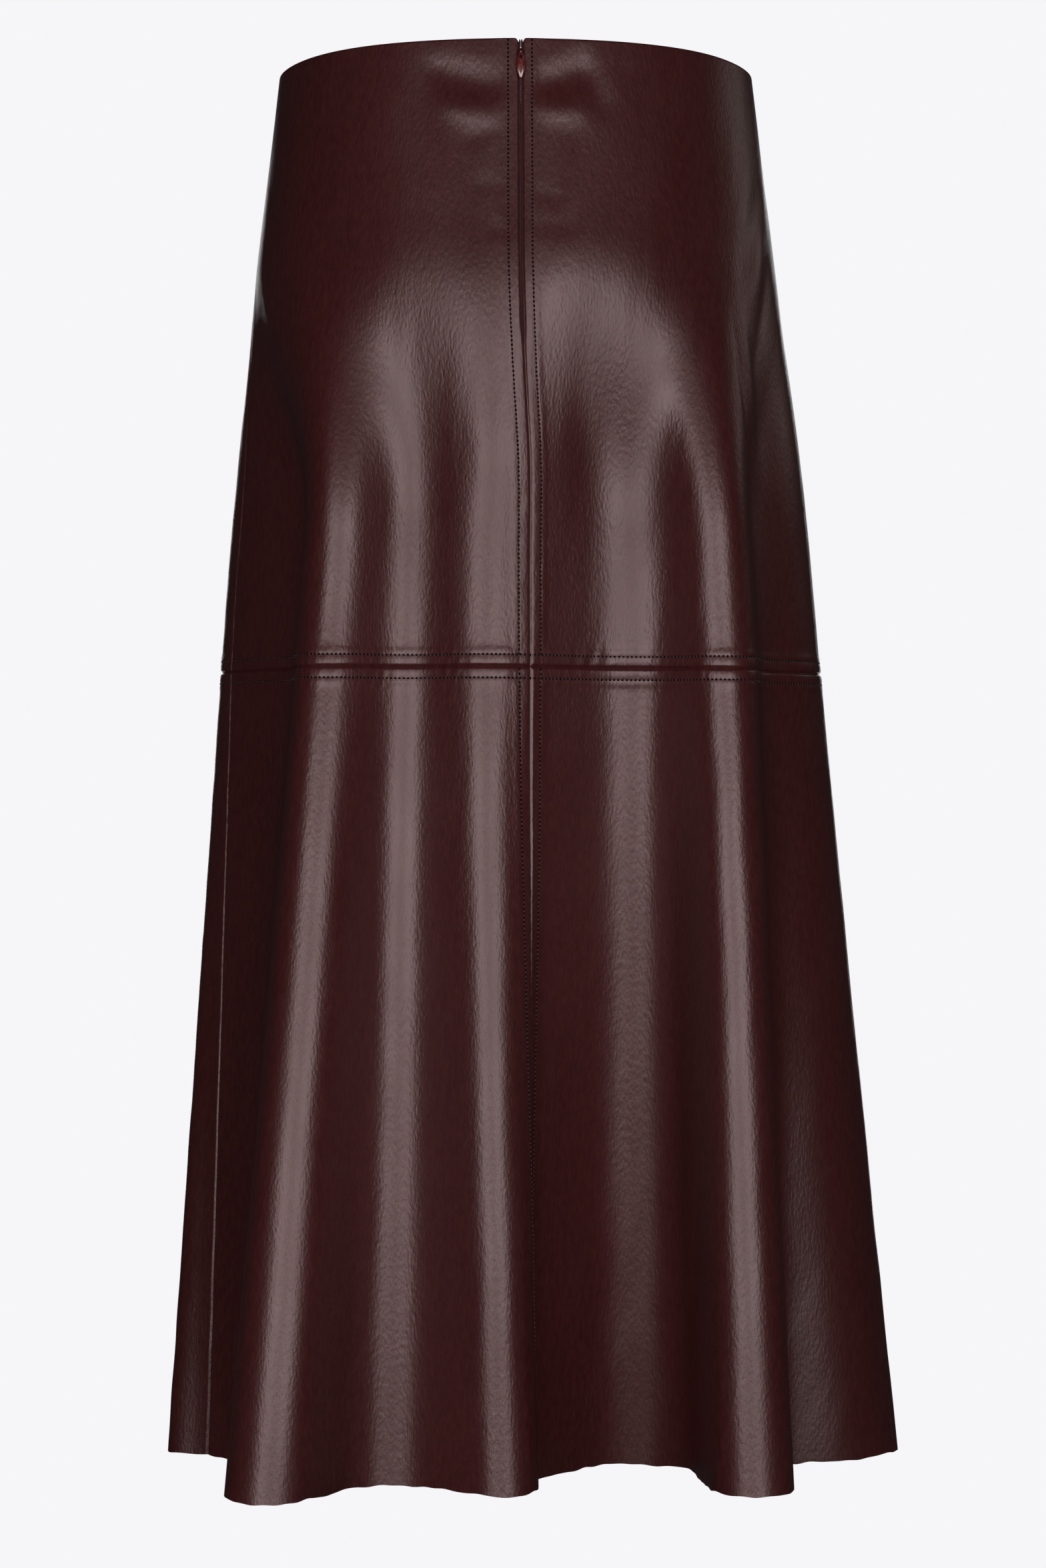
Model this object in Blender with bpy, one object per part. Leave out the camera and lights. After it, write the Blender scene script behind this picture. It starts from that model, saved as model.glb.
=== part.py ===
"""A-line leather skirt, filled out as worn: six panels, a concealed centre-back zip, its slider and pull tab.

Metres, +Z up. The origin is the centre of the waist edge. +X is the wearer's right, +Y the front,
and -Y the back, where the zip is. Every section of the cloth is a closed ring, run counter-clockwise
as seen from above, from the left side seam across the back to the right side seam and round the front.
"""

import math
from collections import namedtuple

import bmesh
import bpy
import numpy as np

# ---- Driving dimensions ----------------------------------------------------------------------------
CLOTH = 0.0012              # wall thickness of the coated cloth
SEAM_GAP = 0.0003           # gap left between neighbouring pieces
SKIRT_LENGTH = 0.7820       # waist edge to hem, straight down
KNEE_LEVEL = 0.345          # level of the knee section below the waist
SEAM_DROP = 0.339           # cross seam below the waist, mid-back and mid-front
SEAM_SIDE_SAG = 0.010       # how much lower the cross seam hangs at the sides
FOLD_START = 0.105          # folds begin this far below the waist
FOLD_FULL = 0.265           # and are full from here
RING_SMOOTHING = 0.0040     # rounding of each ring's bends
WAIST_LIFT = 0.0010         # the waist edge stands this much higher at front and back
WAIST_SIDE_DIP = 0.0025     # and this much lower at the sides

BACK_COLUMN = 0.0085        # spacing of the facets along the hem
FRONT_COLUMN = 0.0105

ZIP_LENGTH = 0.168          # open slit over the zip, from the waist edge
ZIP_TAPER = 0.010           # length over which the slit closes at its foot
SLIT_HALF = 0.0011          # half width of the slit
TAPE_WIDTH = 0.012          # one half of the zip tape
TAPE_THICKNESS = 0.0010
TAPE_STANDOFF = 0.0005      # from the inside of the panel to the tape
TAPE_LENGTH = 0.176
TAPE_TOP = 0.002            # below the waist edge

PULL_AXIS_DROP = 0.0075     # hinge of the pull tab below the waist edge
PULL_AXIS_OUT = 0.0030      # and in front of the cloth
PULL_LENGTH = 0.0145        # hinge to the tip
PULL_WIDTH = 0.0046
PULL_THICKNESS = 0.0010
PULL_EYE_WIDTH = 0.0019
PULL_EYE_LENGTH = 0.0033
CROSSBAR = 0.00045          # half height of the tab's bar inside the bridge

Section = namedtuple("Section", "drop half_width back front")
BODY_SECTIONS = (
    Section(0.000, 0.1340, 0.1035, 0.1035),
    Section(0.045, 0.1393, 0.1090, 0.1060),
    Section(0.090, 0.1448, 0.1155, 0.1100),
    Section(0.135, 0.1500, 0.1235, 0.1140),
    Section(0.190, 0.1560, 0.1290, 0.1170),
    Section(0.345, 0.1700, 0.1350, 0.1240),
    Section(0.785, 0.2085, 0.1500, 0.1450),
)

# Each fold is a crest (radius above zero) or a hollow (below zero), with its centre and radius in plan.
Fold = namedtuple("Fold", "name hem_x hem_y hem_r knee_x knee_y knee_r")
FOLDS = (
    Fold("left side", -0.1890, -0.0205, 0.0090, -0.1040, 0.0040, 0.0650),
    Fold("left seam hollow", -0.1786, -0.0425, -0.0100, -0.1494, -0.0569, -0.0100),
    Fold("left deep hollow", -0.1630, -0.0600, -0.0110, -0.1335, -0.0780, -0.0120),
    Fold("left crest", -0.1300, -0.1600, 0.0245, -0.1000, -0.1080, 0.0200),
    Fold("left back hollow", -0.0660, -0.1580, -0.0300, -0.0590, -0.1290, -0.0220),
    Fold("centre crest", -0.0075, -0.1410, 0.0200, -0.0163, -0.1060, 0.0210),
    Fold("centre edge", 0.0055, -0.1365, 0.0080, -0.0012, -0.1138, 0.0080),
    Fold("centre tuck", 0.0125, -0.1185, -0.0070, 0.0205, -0.1215, -0.0100),
    Fold("right back hollow", 0.0660, -0.0940, -0.0315, 0.0620, -0.1270, -0.0360),
    Fold("right crest", 0.1270, -0.1410, 0.0225, 0.1130, -0.1010, 0.0190),
    Fold("right deep hollow", 0.1550, -0.0705, -0.0105, 0.1500, -0.0780, -0.0160),
    Fold("right side", 0.1608, -0.0015, 0.0570, 0.1160, -0.0100, 0.0580),
    Fold("front right hollow", 0.1620, 0.1130, -0.0200, 0.1400, 0.1010, -0.0240),
    Fold("front right crest", 0.1080, 0.1290, 0.0260, 0.0890, 0.1020, 0.0240),
    Fold("front hollow", 0.0470, 0.1520, -0.0300, 0.0400, 0.1410, -0.0300),
    Fold("front crest", -0.0120, 0.1280, 0.0270, -0.0100, 0.1020, 0.0240),
    Fold("front left hollow", -0.0680, 0.1480, -0.0300, -0.0580, 0.1380, -0.0280),
    Fold("front left crest", -0.1220, 0.1190, 0.0270, -0.0980, 0.0930, 0.0230),
    Fold("side front hollow", -0.1780, 0.0800, -0.0200, -0.1480, 0.0860, -0.0200),
)

# Where the long seams cross the knee and hem sections, in plan, and their angle round the waist.
SeamLine = namedtuple("SeamLine", "name waist_angle knee_x knee_y hem_x hem_y")
SEAM_LINES = (
    SeamLine("left side", -90.0, -0.1655, -0.0150, -0.1726, -0.0345),
    SeamLine("centre back", 1.3, 0.0085, -0.1165, 0.0115, -0.1260),
    SeamLine("right side", 90.0, 0.1715, -0.0120, 0.2080, -0.0200),
)

UPPER_LEVELS = (0.0, 0.13, 0.26, 0.38, 0.468, 0.497, 0.62, 0.80, 1.0)
LOWER_LEVELS = (0.0, 0.22, 0.45, 0.72, 1.0)

LEATHER = ("burgundy_leather", (0.045, 0.010, 0.011), 0.38, 0.0)
TAPE_CLOTH = ("zip_tape", (0.012, 0.004, 0.005), 0.85, 0.0)
LACQUER = ("lacquered_metal", (0.130, 0.030, 0.030), 0.22, 0.6)


# ---- Rings -----------------------------------------------------------------------------------------
def belt(discs):
    """Closed outline that runs round (x, y, signed radius) discs, with each disc's place along it."""
    headings = []
    for here, after in zip(discs, discs[1:] + discs[:1]):
        dx, dy = after[0] - here[0], after[1] - here[1]
        headings.append(math.atan2(dy, dx) - math.asin((after[2] - here[2]) / math.hypot(dx, dy)))
    points, middles = [], []
    for i, (x, y, radius) in enumerate(discs):
        turn = (headings[i] - headings[i - 1] + math.pi) % (2.0 * math.pi) - math.pi
        assert turn * radius > 0.0, f"disc {i} turns the wrong way"
        steps = 2 * max(4, math.ceil(abs(turn * radius) / 0.0015))
        for k in range(steps + 1):
            heading = headings[i - 1] + turn * k / steps
            points.append((x + radius * math.sin(heading), y - radius * math.cos(heading)))
        middles.append(len(points) - 1 - steps // 2)
    return np.array(points), middles


def arc_lengths(points):
    """Distance along a closed outline to each of its points, and all the way round."""
    steps = np.linalg.norm(np.roll(points, -1, axis=0) - points, axis=1)
    return np.concatenate([[0.0], np.cumsum(steps)])


def smooth_ring(points, spread):
    """The ring with its positions averaged over a bell of this spread; points are evenly spaced."""
    step = arc_lengths(points)[-1] / len(points)
    waves = np.fft.rfftfreq(len(points), d=step)
    keep = np.exp(-2.0 * (math.pi * spread * waves) ** 2)
    return np.fft.irfft(np.fft.rfft(points, axis=0) * keep[:, None], n=len(points), axis=0)


class Ring:
    """A section of folded cloth, read by arc length from its left side seam."""

    def __init__(self, discs, seam_points):
        corners, middles = belt(discs)
        lengths = arc_lengths(corners)
        total = lengths[-1]
        count = int(total / 0.001)
        along = np.arange(count) * total / count
        closed = np.vstack([corners, corners[:1]])
        even = np.stack([np.interp(along, lengths, closed[:, k]) for k in (0, 1)], axis=1)
        even = smooth_ring(even, RING_SMOOTHING)
        seam_rows = [int(np.argmin(np.linalg.norm(even - np.array(p), axis=1))) for p in seam_points]
        start = seam_rows[0]
        self.points = np.roll(even, -start, axis=0)
        self.girth = arc_lengths(self.points)[-1]
        self.step = self.girth / count
        self.seams = [((row - start) % count) * self.step for row in seam_rows]
        self.folds = [((lengths[m] - along[start]) % total) * self.girth / total for m in middles]

    def at(self, distance):
        index = np.asarray(distance) / self.step
        closed = np.vstack([self.points, self.points[:1]])
        return np.stack([np.interp(index, np.arange(len(closed)), closed[:, k]) for k in (0, 1)], axis=-1)


def waist_angles(shares):
    """Angles round the waist, 0 at the back and 90 at the right side, at shares between its seams."""
    angles = np.radians(np.linspace(-90.0, 270.0, 7201))
    x, y = body_ring(angles, 0.0)
    lengths = np.concatenate([[0.0], np.cumsum(np.hypot(np.diff(x), np.diff(y)))])
    marks = [math.radians(s.waist_angle) for s in SEAM_LINES] + [math.radians(270.0)]
    mark_lengths = np.interp(marks, angles, lengths)
    return np.interp(np.interp(shares, np.arange(len(marks)), mark_lengths), lengths, angles)


def eased(drop, drops, values):
    """Smooth curve through a column of the sections table, cubic with averaged slopes."""
    drops, values = np.asarray(drops), np.asarray(values)
    secants = np.diff(values) / np.diff(drops)
    slopes = np.concatenate([secants[:1], 0.5 * (secants[1:] + secants[:-1]), secants[-1:]])
    drop = np.clip(drop, drops[0], drops[-1])
    i = np.clip(np.searchsorted(drops, drop, side="right") - 1, 0, len(drops) - 2)
    span = drops[i + 1] - drops[i]
    t = (drop - drops[i]) / span
    rise = values[i + 1] - values[i]
    bend = (slopes[i] * span - rise) * (1.0 - t) - (slopes[i + 1] * span - rise) * t
    return values[i] + t * rise + t * (1.0 - t) * bend


def body_ring(angles, drop):
    """The plain ring that the cloth would take without folds: two half ellipses."""
    drops = [s.drop for s in BODY_SECTIONS]
    width = eased(drop, drops, [s.half_width for s in BODY_SECTIONS])
    back = eased(drop, drops, [s.back for s in BODY_SECTIONS])
    front = eased(drop, drops, [s.front for s in BODY_SECTIONS])
    forward = -np.cos(angles)
    return width * np.sin(angles), forward * np.where(forward < 0.0, back, front)


class Cloth:
    """The skirt's outer surface: place(distance along the hem, drop below the waist) to points."""

    def __init__(self):
        hem_discs = [(f.hem_x, f.hem_y, f.hem_r) for f in FOLDS]
        knee_discs = [(f.knee_x, f.knee_y, f.knee_r) for f in FOLDS]
        self.hem = Ring(hem_discs, [(s.hem_x, s.hem_y) for s in SEAM_LINES])
        self.knee = Ring(knee_discs, [(s.knee_x, s.knee_y) for s in SEAM_LINES])
        self.girth = self.hem.girth
        self.seams = self.hem.seams + [self.girth]
        pairs = list(zip(self.seams, self.knee.seams + [self.knee.girth]))
        for hem_place, knee_place in zip(self.hem.folds, self.knee.folds):
            if min(abs(hem_place - s) for s in self.seams) > 0.025:
                pairs.append((hem_place, knee_place))
        pairs.sort()
        grid = np.arange(int(self.girth / 0.001)) * self.girth / int(self.girth / 0.001)
        self.grid = grid
        knee_place = np.interp(grid, [p[0] for p in pairs], [p[1] for p in pairs])
        self.angles = waist_angles(np.interp(grid, self.seams, np.arange(len(self.seams))))
        at_knee = np.stack(body_ring(self.angles, KNEE_LEVEL), axis=1)
        at_hem = np.stack(body_ring(self.angles, SKIRT_LENGTH), axis=1)
        self.knee_fold = smooth_ring(self.knee.at(knee_place) - at_knee, RING_SMOOTHING)
        self.hem_fold = smooth_ring(self.hem.at(grid) - at_hem, 0.5 * RING_SMOOTHING)
        side = np.clip((np.abs(self.knee.at(knee_place)[:, 0]) - 0.118) / 0.020, 0.0, 1.0)
        sag = SEAM_SIDE_SAG * side * side * (3.0 - 2.0 * side)
        self.seam_drops = SEAM_DROP + smooth_ring(sag[:, None], 2.0 * RING_SMOOTHING)[:, 0]

    def read(self, column, distance):
        closed = np.concatenate([column, column[:1]])
        return np.interp(distance, np.append(self.grid, self.girth), closed)

    def seam_drop(self, distance):
        return self.read(self.seam_drops, distance)

    def waist_drop(self, distance):
        side = np.abs(np.sin(self.read(self.angles, np.minimum(distance, self.grid[-1])))) ** 6
        return (WAIST_LIFT + WAIST_SIDE_DIP) * side - WAIST_LIFT

    def place(self, distance, drop):
        distance = np.mod(distance, self.girth)
        angles = self.read(self.angles, np.minimum(distance, self.grid[-1]))
        body = body_ring(angles, drop)
        below = np.clip((drop - KNEE_LEVEL) / (SKIRT_LENGTH - KNEE_LEVEL), 0.0, None)
        t = np.clip((drop - FOLD_START) / (FOLD_FULL - FOLD_START), 0.0, 1.0)
        rise = t * t * (3.0 - 2.0 * t)
        reach = KNEE_LEVEL - FOLD_START
        t = np.clip((drop - FOLD_START) / reach, 0.0, 1.0)
        lead = t * t * (t - 1.0) * reach / (SKIRT_LENGTH - KNEE_LEVEL)
        out = []
        for k in (0, 1):
            knee = self.read(self.knee_fold[:, k], distance)
            growth = self.read(self.hem_fold[:, k], distance) - knee
            out.append(body[k] + knee * rise + growth * (below + lead))
        return np.stack([out[0], out[1], -drop + 0.0 * out[0]], axis=-1)

    def normals(self, distance, drop):
        """Outward directions, level with the ground."""
        along = self.place(distance + 0.001, drop) - self.place(distance - 0.001, drop)
        level = np.stack([along[..., 1], -along[..., 0], 0.0 * along[..., 0]], axis=-1)
        return level / np.linalg.norm(level, axis=-1, keepdims=True)

    def speed(self, distance, drop):
        """Length of cloth at this level for each metre along the hem."""
        along = self.place(distance + 0.001, drop) - self.place(distance - 0.001, drop)
        return np.linalg.norm(along, axis=-1) / 0.002


# ---- Solids ----------------------------------------------------------------------------------------
def material(name, colour, roughness, metallic):
    made = bpy.data.materials.get(name)
    if made is None:
        made = bpy.data.materials.new(name)
        made.use_nodes = True
        shader = made.node_tree.nodes["Principled BSDF"]
        shader.inputs["Base Color"].default_value = (*colour, 1.0)
        shader.inputs["Roughness"].default_value = roughness
        shader.inputs["Metallic"].default_value = metallic
    return made


def make_object(name, bm, finish):
    bmesh.ops.recalc_face_normals(bm, faces=bm.faces[:])
    mesh = bpy.data.meshes.new(name)
    bm.to_mesh(mesh)
    bm.free()
    mesh.materials.append(material(*finish))
    made = bpy.data.objects.new(name, mesh)
    bpy.context.scene.collection.objects.link(made)
    return made


def wall(name, outer, inner, finish):
    """Closed solid between two grids of points of the same shape."""
    rows, columns = outer.shape[:2]
    bm = bmesh.new()
    skins = [[[bm.verts.new(p) for p in row] for row in skin] for skin in (outer, inner)]
    for r in range(rows - 1):
        for c in range(columns - 1):
            for skin in skins:
                bm.faces.new((skin[r][c], skin[r][c + 1], skin[r + 1][c + 1], skin[r + 1][c]))
    rim = [(0, c) for c in range(columns)] + [(r, columns - 1) for r in range(1, rows)]
    rim += [(rows - 1, c) for c in range(columns - 2, -1, -1)] + [(r, 0) for r in range(rows - 2, 0, -1)]
    for (r0, c0), (r1, c1) in zip(rim, rim[1:] + rim[:1]):
        bm.faces.new((skins[0][r0][c0], skins[0][r1][c1], skins[1][r1][c1], skins[1][r0][c0]))
    bmesh.ops.triangulate(bm, faces=bm.faces[:])
    return make_object(name, bm, finish)


def column_places(start, end, spacing):
    return np.linspace(start, end, max(2, round((end - start) / spacing)) + 1)


def slit_half(drop):
    """Half the opening between the upper back panels: the zip's slit, closing to a plain seam."""
    closing = np.clip((ZIP_LENGTH - drop) / ZIP_TAPER, 0.0, 1.0)
    return 0.5 * SEAM_GAP + (SLIT_HALF - 0.5 * SEAM_GAP) * closing


def panel(cloth, name, start, end, top, bottom, levels, spacing):
    """One panel between two long seams and two levels, each given as a function of the place."""
    columns = column_places(start, end, spacing)
    outer, inner = [], []
    for level in levels:
        drop = top(columns) + (bottom(columns) - top(columns)) * level
        places = columns.copy()
        for edge, sign, at in ((0, 1.0, start), (-1, -1.0, end)):
            centre_back = abs(at - cloth.seams[1]) < 1e-6
            trim = slit_half(drop[edge]) if centre_back else 0.5 * SEAM_GAP
            places[edge] += sign * trim / cloth.speed(at, drop[edge])
        points = cloth.place(places, drop)
        outer.append(points)
        inner.append(points - CLOTH * cloth.normals(places, drop))
    return wall(name, np.array(outer), np.array(inner), LEATHER)


def make_panels(cloth):
    left, centre, right, end = cloth.seams

    def seam_above(places):
        return cloth.seam_drop(places) - 0.5 * SEAM_GAP

    def seam_below(places):
        return cloth.seam_drop(places) + 0.5 * SEAM_GAP

    def hem(places):
        return np.full_like(places, SKIRT_LENGTH)

    for side, start, stop, spacing in (
        ("back_{}_left", left, centre, BACK_COLUMN),
        ("back_{}_right", centre, right, BACK_COLUMN),
        ("front_{}", right, end, FRONT_COLUMN),
    ):
        panel(cloth, side.format("upper"), start, stop, cloth.waist_drop, seam_above, UPPER_LEVELS, spacing)
        panel(cloth, side.format("lower"), start, stop, seam_below, hem, LOWER_LEVELS, spacing)


def make_tape(cloth, name, side):
    """Half of the zip tape, behind the panel; its inner edge steps back where the slider sits."""
    centre = cloth.seams[1]
    slider_foot = PULL_AXIS_DROP + 0.006
    drops = np.array([TAPE_TOP, slider_foot, slider_foot + 0.004, 0.045, 0.09, 0.135, TAPE_LENGTH])
    inner_edges = np.array([0.0014, 0.0014, 0.0, 0.0, 0.0, 0.0, 0.0]) + 0.5 * SEAM_GAP
    outer, inner = [], []
    for drop, edge in zip(drops, inner_edges):
        away = np.array([edge, 0.006, TAPE_WIDTH])
        places = centre + side * away / cloth.speed(centre, drop)
        points = cloth.place(places, np.full(3, drop))
        normals = cloth.normals(places, np.full(3, drop))
        outer.append(points - (CLOTH + TAPE_STANDOFF) * normals)
        inner.append(points - (CLOTH + TAPE_STANDOFF + TAPE_THICKNESS) * normals)
    wall(name, np.array(outer), np.array(inner), TAPE_CLOTH)


def box(bm, x, y, z):
    """Box between (low, high) limits on each axis."""
    corners = [bm.verts.new((x[i], y[j], z[k])) for i in (0, 1) for j in (0, 1) for k in (0, 1)]
    for face in ((0, 1, 3, 2), (4, 6, 7, 5), (0, 4, 5, 1), (2, 3, 7, 6), (0, 2, 6, 4), (1, 5, 7, 3)):
        bm.faces.new([corners[i] for i in face])


def make_slider(hinge, cloth_face):
    """Slider body inside the skirt, its neck through the slit, and the bridge that holds the tab."""
    window_z, window_y, bar = 0.0013, 0.0010, 0.0008
    neck_half, body_half, body_deep = 0.0006, 0.0027, 0.0020
    inside = cloth_face + CLOTH + TAPE_STANDOFF + TAPE_THICKNESS + 0.0009
    x, y, z = hinge
    bm = bmesh.new()
    outline = [
        (inside + 0.0002, z + window_z + bar),
        (y - window_y, z + window_z + bar),
        (y - window_y - bar, z + window_z + 0.2 * bar),
        (y - window_y - bar, z - window_z - 0.2 * bar),
        (y - window_y, z - window_z - bar),
        (inside + 0.0002, z - window_z - bar),
    ]
    window = [
        (y + window_y, z + window_z),
        (y - 0.6 * window_y, z + window_z),
        (y - window_y, z + 0.6 * window_z),
        (y - window_y, z - 0.6 * window_z),
        (y - 0.6 * window_y, z - window_z),
        (y + window_y, z - window_z),
    ]
    loops = []
    for side in (-neck_half, neck_half):
        for ring in (outline, window):
            loops.append([bm.verts.new((x + side, py, pz)) for py, pz in ring])
    count = len(outline)
    for i in range(count):
        j = (i + 1) % count
        bm.faces.new((loops[0][i], loops[0][j], loops[1][j], loops[1][i]))
        bm.faces.new((loops[2][i], loops[2][j], loops[3][j], loops[3][i]))
        bm.faces.new((loops[0][i], loops[0][j], loops[2][j], loops[2][i]))
        bm.faces.new((loops[1][i], loops[1][j], loops[3][j], loops[3][i]))
    slider = make_object("zip_slider", bm, LACQUER)
    body = bmesh.new()
    box(body, (x - body_half, x + body_half), (inside, inside + body_deep), (z - 0.0045, z + 0.0035))
    cutter = make_object("slider_body_tool", body, LACQUER)
    cutter.hide_render = True
    cutter.display_type = "WIRE"
    join = slider.modifiers.new("join body", "BOOLEAN")
    join.operation = "UNION"
    join.solver = "EXACT"
    join.object = cutter


def make_pull(hinge):
    """Teardrop tab with an eye round the bridge, hanging from its hinge."""
    count = 24
    top = 0.0008
    outer, eye = [], []
    for k in range(count):
        angle = 2.0 * math.pi * k / count
        up = math.cos(angle)
        height = 0.5 * (top - PULL_LENGTH) + 0.5 * (top + PULL_LENGTH) * up
        share = (top - height) / (top + PULL_LENGTH)
        half = 0.5 * PULL_WIDTH * (0.74 + 0.26 * math.sin(math.pi * min(1.0, 0.15 + 0.62 * share)))
        outer.append((half * abs(math.sin(angle)) ** 0.72 * math.copysign(1.0, math.sin(angle)), height))
        middle = -0.5 * (CROSSBAR + PULL_EYE_LENGTH)
        reach = 0.5 * (PULL_EYE_LENGTH - CROSSBAR)
        squareness = max(abs(math.cos(angle)), abs(math.sin(angle))) ** -0.7
        eye.append((0.5 * PULL_EYE_WIDTH * math.sin(angle) * squareness, middle + reach * up * squareness))
    bm = bmesh.new()
    loops = []
    for face in (-0.5 * PULL_THICKNESS, 0.5 * PULL_THICKNESS):
        for ring in (outer, eye):
            loops.append([bm.verts.new((px, face, pz)) for px, pz in ring])
    for i in range(count):
        j = (i + 1) % count
        bm.faces.new((loops[0][i], loops[0][j], loops[1][j], loops[1][i]))
        bm.faces.new((loops[2][i], loops[2][j], loops[3][j], loops[3][i]))
        bm.faces.new((loops[0][i], loops[0][j], loops[2][j], loops[2][i]))
        bm.faces.new((loops[1][i], loops[1][j], loops[3][j], loops[3][i]))
    pull = make_object("zip_pull", bm, LACQUER)
    pull.location = hinge


def main():
    for old in list(bpy.data.objects):
        bpy.data.objects.remove(old, do_unlink=True)
    cloth = Cloth()
    make_panels(cloth)
    make_tape(cloth, "zip_tape_left", -1.0)
    make_tape(cloth, "zip_tape_right", 1.0)
    face = cloth.place(cloth.seams[1], PULL_AXIS_DROP)
    hinge = (face[0], face[1] - PULL_AXIS_OUT, -PULL_AXIS_DROP)
    make_slider(hinge, face[1])
    make_pull(hinge)


main()
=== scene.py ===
"""Looks of the leather skirt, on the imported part: fine cloth, stitches, zip, materials and a pale studio.

Metres, +Z up. The origin is the centre of the waist edge, +X the wearer's right, +Y the front and -Y
the back, where the zip is. The cloth is read by place, which runs along the hem from the left side
seam across the back to the right side seam and round the front, and by drop below the waist.
"""

import math
from collections import namedtuple

import bpy
import numpy as np
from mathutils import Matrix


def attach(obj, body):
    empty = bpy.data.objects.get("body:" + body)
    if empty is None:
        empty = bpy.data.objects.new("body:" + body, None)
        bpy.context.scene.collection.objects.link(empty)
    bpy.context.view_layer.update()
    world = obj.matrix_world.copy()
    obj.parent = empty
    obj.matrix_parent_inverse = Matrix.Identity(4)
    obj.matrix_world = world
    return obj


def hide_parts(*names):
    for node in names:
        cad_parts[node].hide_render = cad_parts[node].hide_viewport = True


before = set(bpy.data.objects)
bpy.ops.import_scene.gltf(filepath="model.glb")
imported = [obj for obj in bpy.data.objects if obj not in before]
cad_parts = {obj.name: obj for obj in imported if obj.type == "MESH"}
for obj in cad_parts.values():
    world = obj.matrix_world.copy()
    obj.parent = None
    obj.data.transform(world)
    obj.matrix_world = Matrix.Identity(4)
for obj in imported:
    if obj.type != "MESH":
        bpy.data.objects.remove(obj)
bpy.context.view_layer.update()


def table(kind, columns, *rows):
    """Named rows, each with these columns."""
    row = namedtuple(kind, columns)
    return tuple(row(*values) for values in rows)


def stack(*columns):
    """Columns side by side, each as long as the longest."""
    return np.stack(np.broadcast_arrays(*columns), axis=-1)


def ease(t):
    """0 up to 0, 1 from 1, and smooth between."""
    t = np.clip(t, 0.0, 1.0)
    return t * t * (3.0 - 2.0 * t)


def full_turn(count):
    """Even angles all the way round."""
    return 2.0 * math.pi * np.arange(count) / count


# ---- Sizes of the cloth, as the part has them ----
CLOTH = 0.0012  # wall thickness of the coated cloth
SKIRT_LENGTH = 0.7820  # waist edge to hem, straight down
KNEE_LEVEL = 0.345  # level of the knee section below the waist
SEAM_DROP = 0.339  # cross seam below the waist, mid-back and mid-front
SEAM_SIDE_SAG = 0.010  # how much lower the cross seam hangs at the sides
SAG_FROM = 0.118  # which begins this far out from the middle
SAG_SOFT = 0.020
FOLD_START = 0.105  # folds begin this far below the waist
FOLD_FULL = 0.265  # and are full from here
RING_SMOOTHING = 0.0040  # rounding of each ring's bends
RING_STEP = 0.001  # sampling along a ring
ARC_STEP = 0.0015  # and round the arcs it is made from
PAIR_APART = 0.025  # folds nearer to a seam than this follow the seam
WAIST_LIFT = 0.0010  # the waist edge stands this much higher at front and back
WAIST_SIDE_DIP = 0.0025  # and this much lower at the sides

ZIP_LENGTH = 0.168  # open slit over the zip, from the waist edge
ZIP_TAPER = 0.010  # length over which the slit closes at its foot
SLIT_HALF = 0.00075  # half width of the slit
TAPE_WIDTH = 0.012  # one half of the zip tape
TAPE_THICKNESS = 0.0008
TAPE_STANDOFF = 0.0006  # from the inside of the panel to the tape
TAPE_LENGTH = 0.176

GIRTH_LEVELS = (0.0, 0.13, KNEE_LEVEL, SKIRT_LENGTH)
GIRTH_SHARES = (0.51, 0.56, 0.685, 1.0)  # of the hem's girth at these levels, roughly

PULL_AXIS_DROP = 0.0075  # hinge of the pull tab below the waist edge
PULL_AXIS_OUT = 0.0030  # and in front of the cloth
PULL_LENGTH = 0.0145  # hinge to the tip
PULL_WIDTH = 0.0046
PULL_EYE_WIDTH = 0.0019
PULL_EYE_LENGTH = 0.0033
CROSSBAR = 0.00045  # half height of the tab's bar inside the bridge

# The plain ring at some levels: half its width, and its depth to the back and the front.
BODY_SECTIONS = table(
    "Section", "drop half_width back front",
    (0.000, 0.1340, 0.1035, 0.1035),
    (0.045, 0.1393, 0.1090, 0.1060),
    (0.090, 0.1448, 0.1155, 0.1100),
    (0.135, 0.1500, 0.1235, 0.1140),
    (0.190, 0.1560, 0.1290, 0.1170),
    (0.345, 0.1700, 0.1350, 0.1240),
    (0.785, 0.2085, 0.1500, 0.1450),
)

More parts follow.
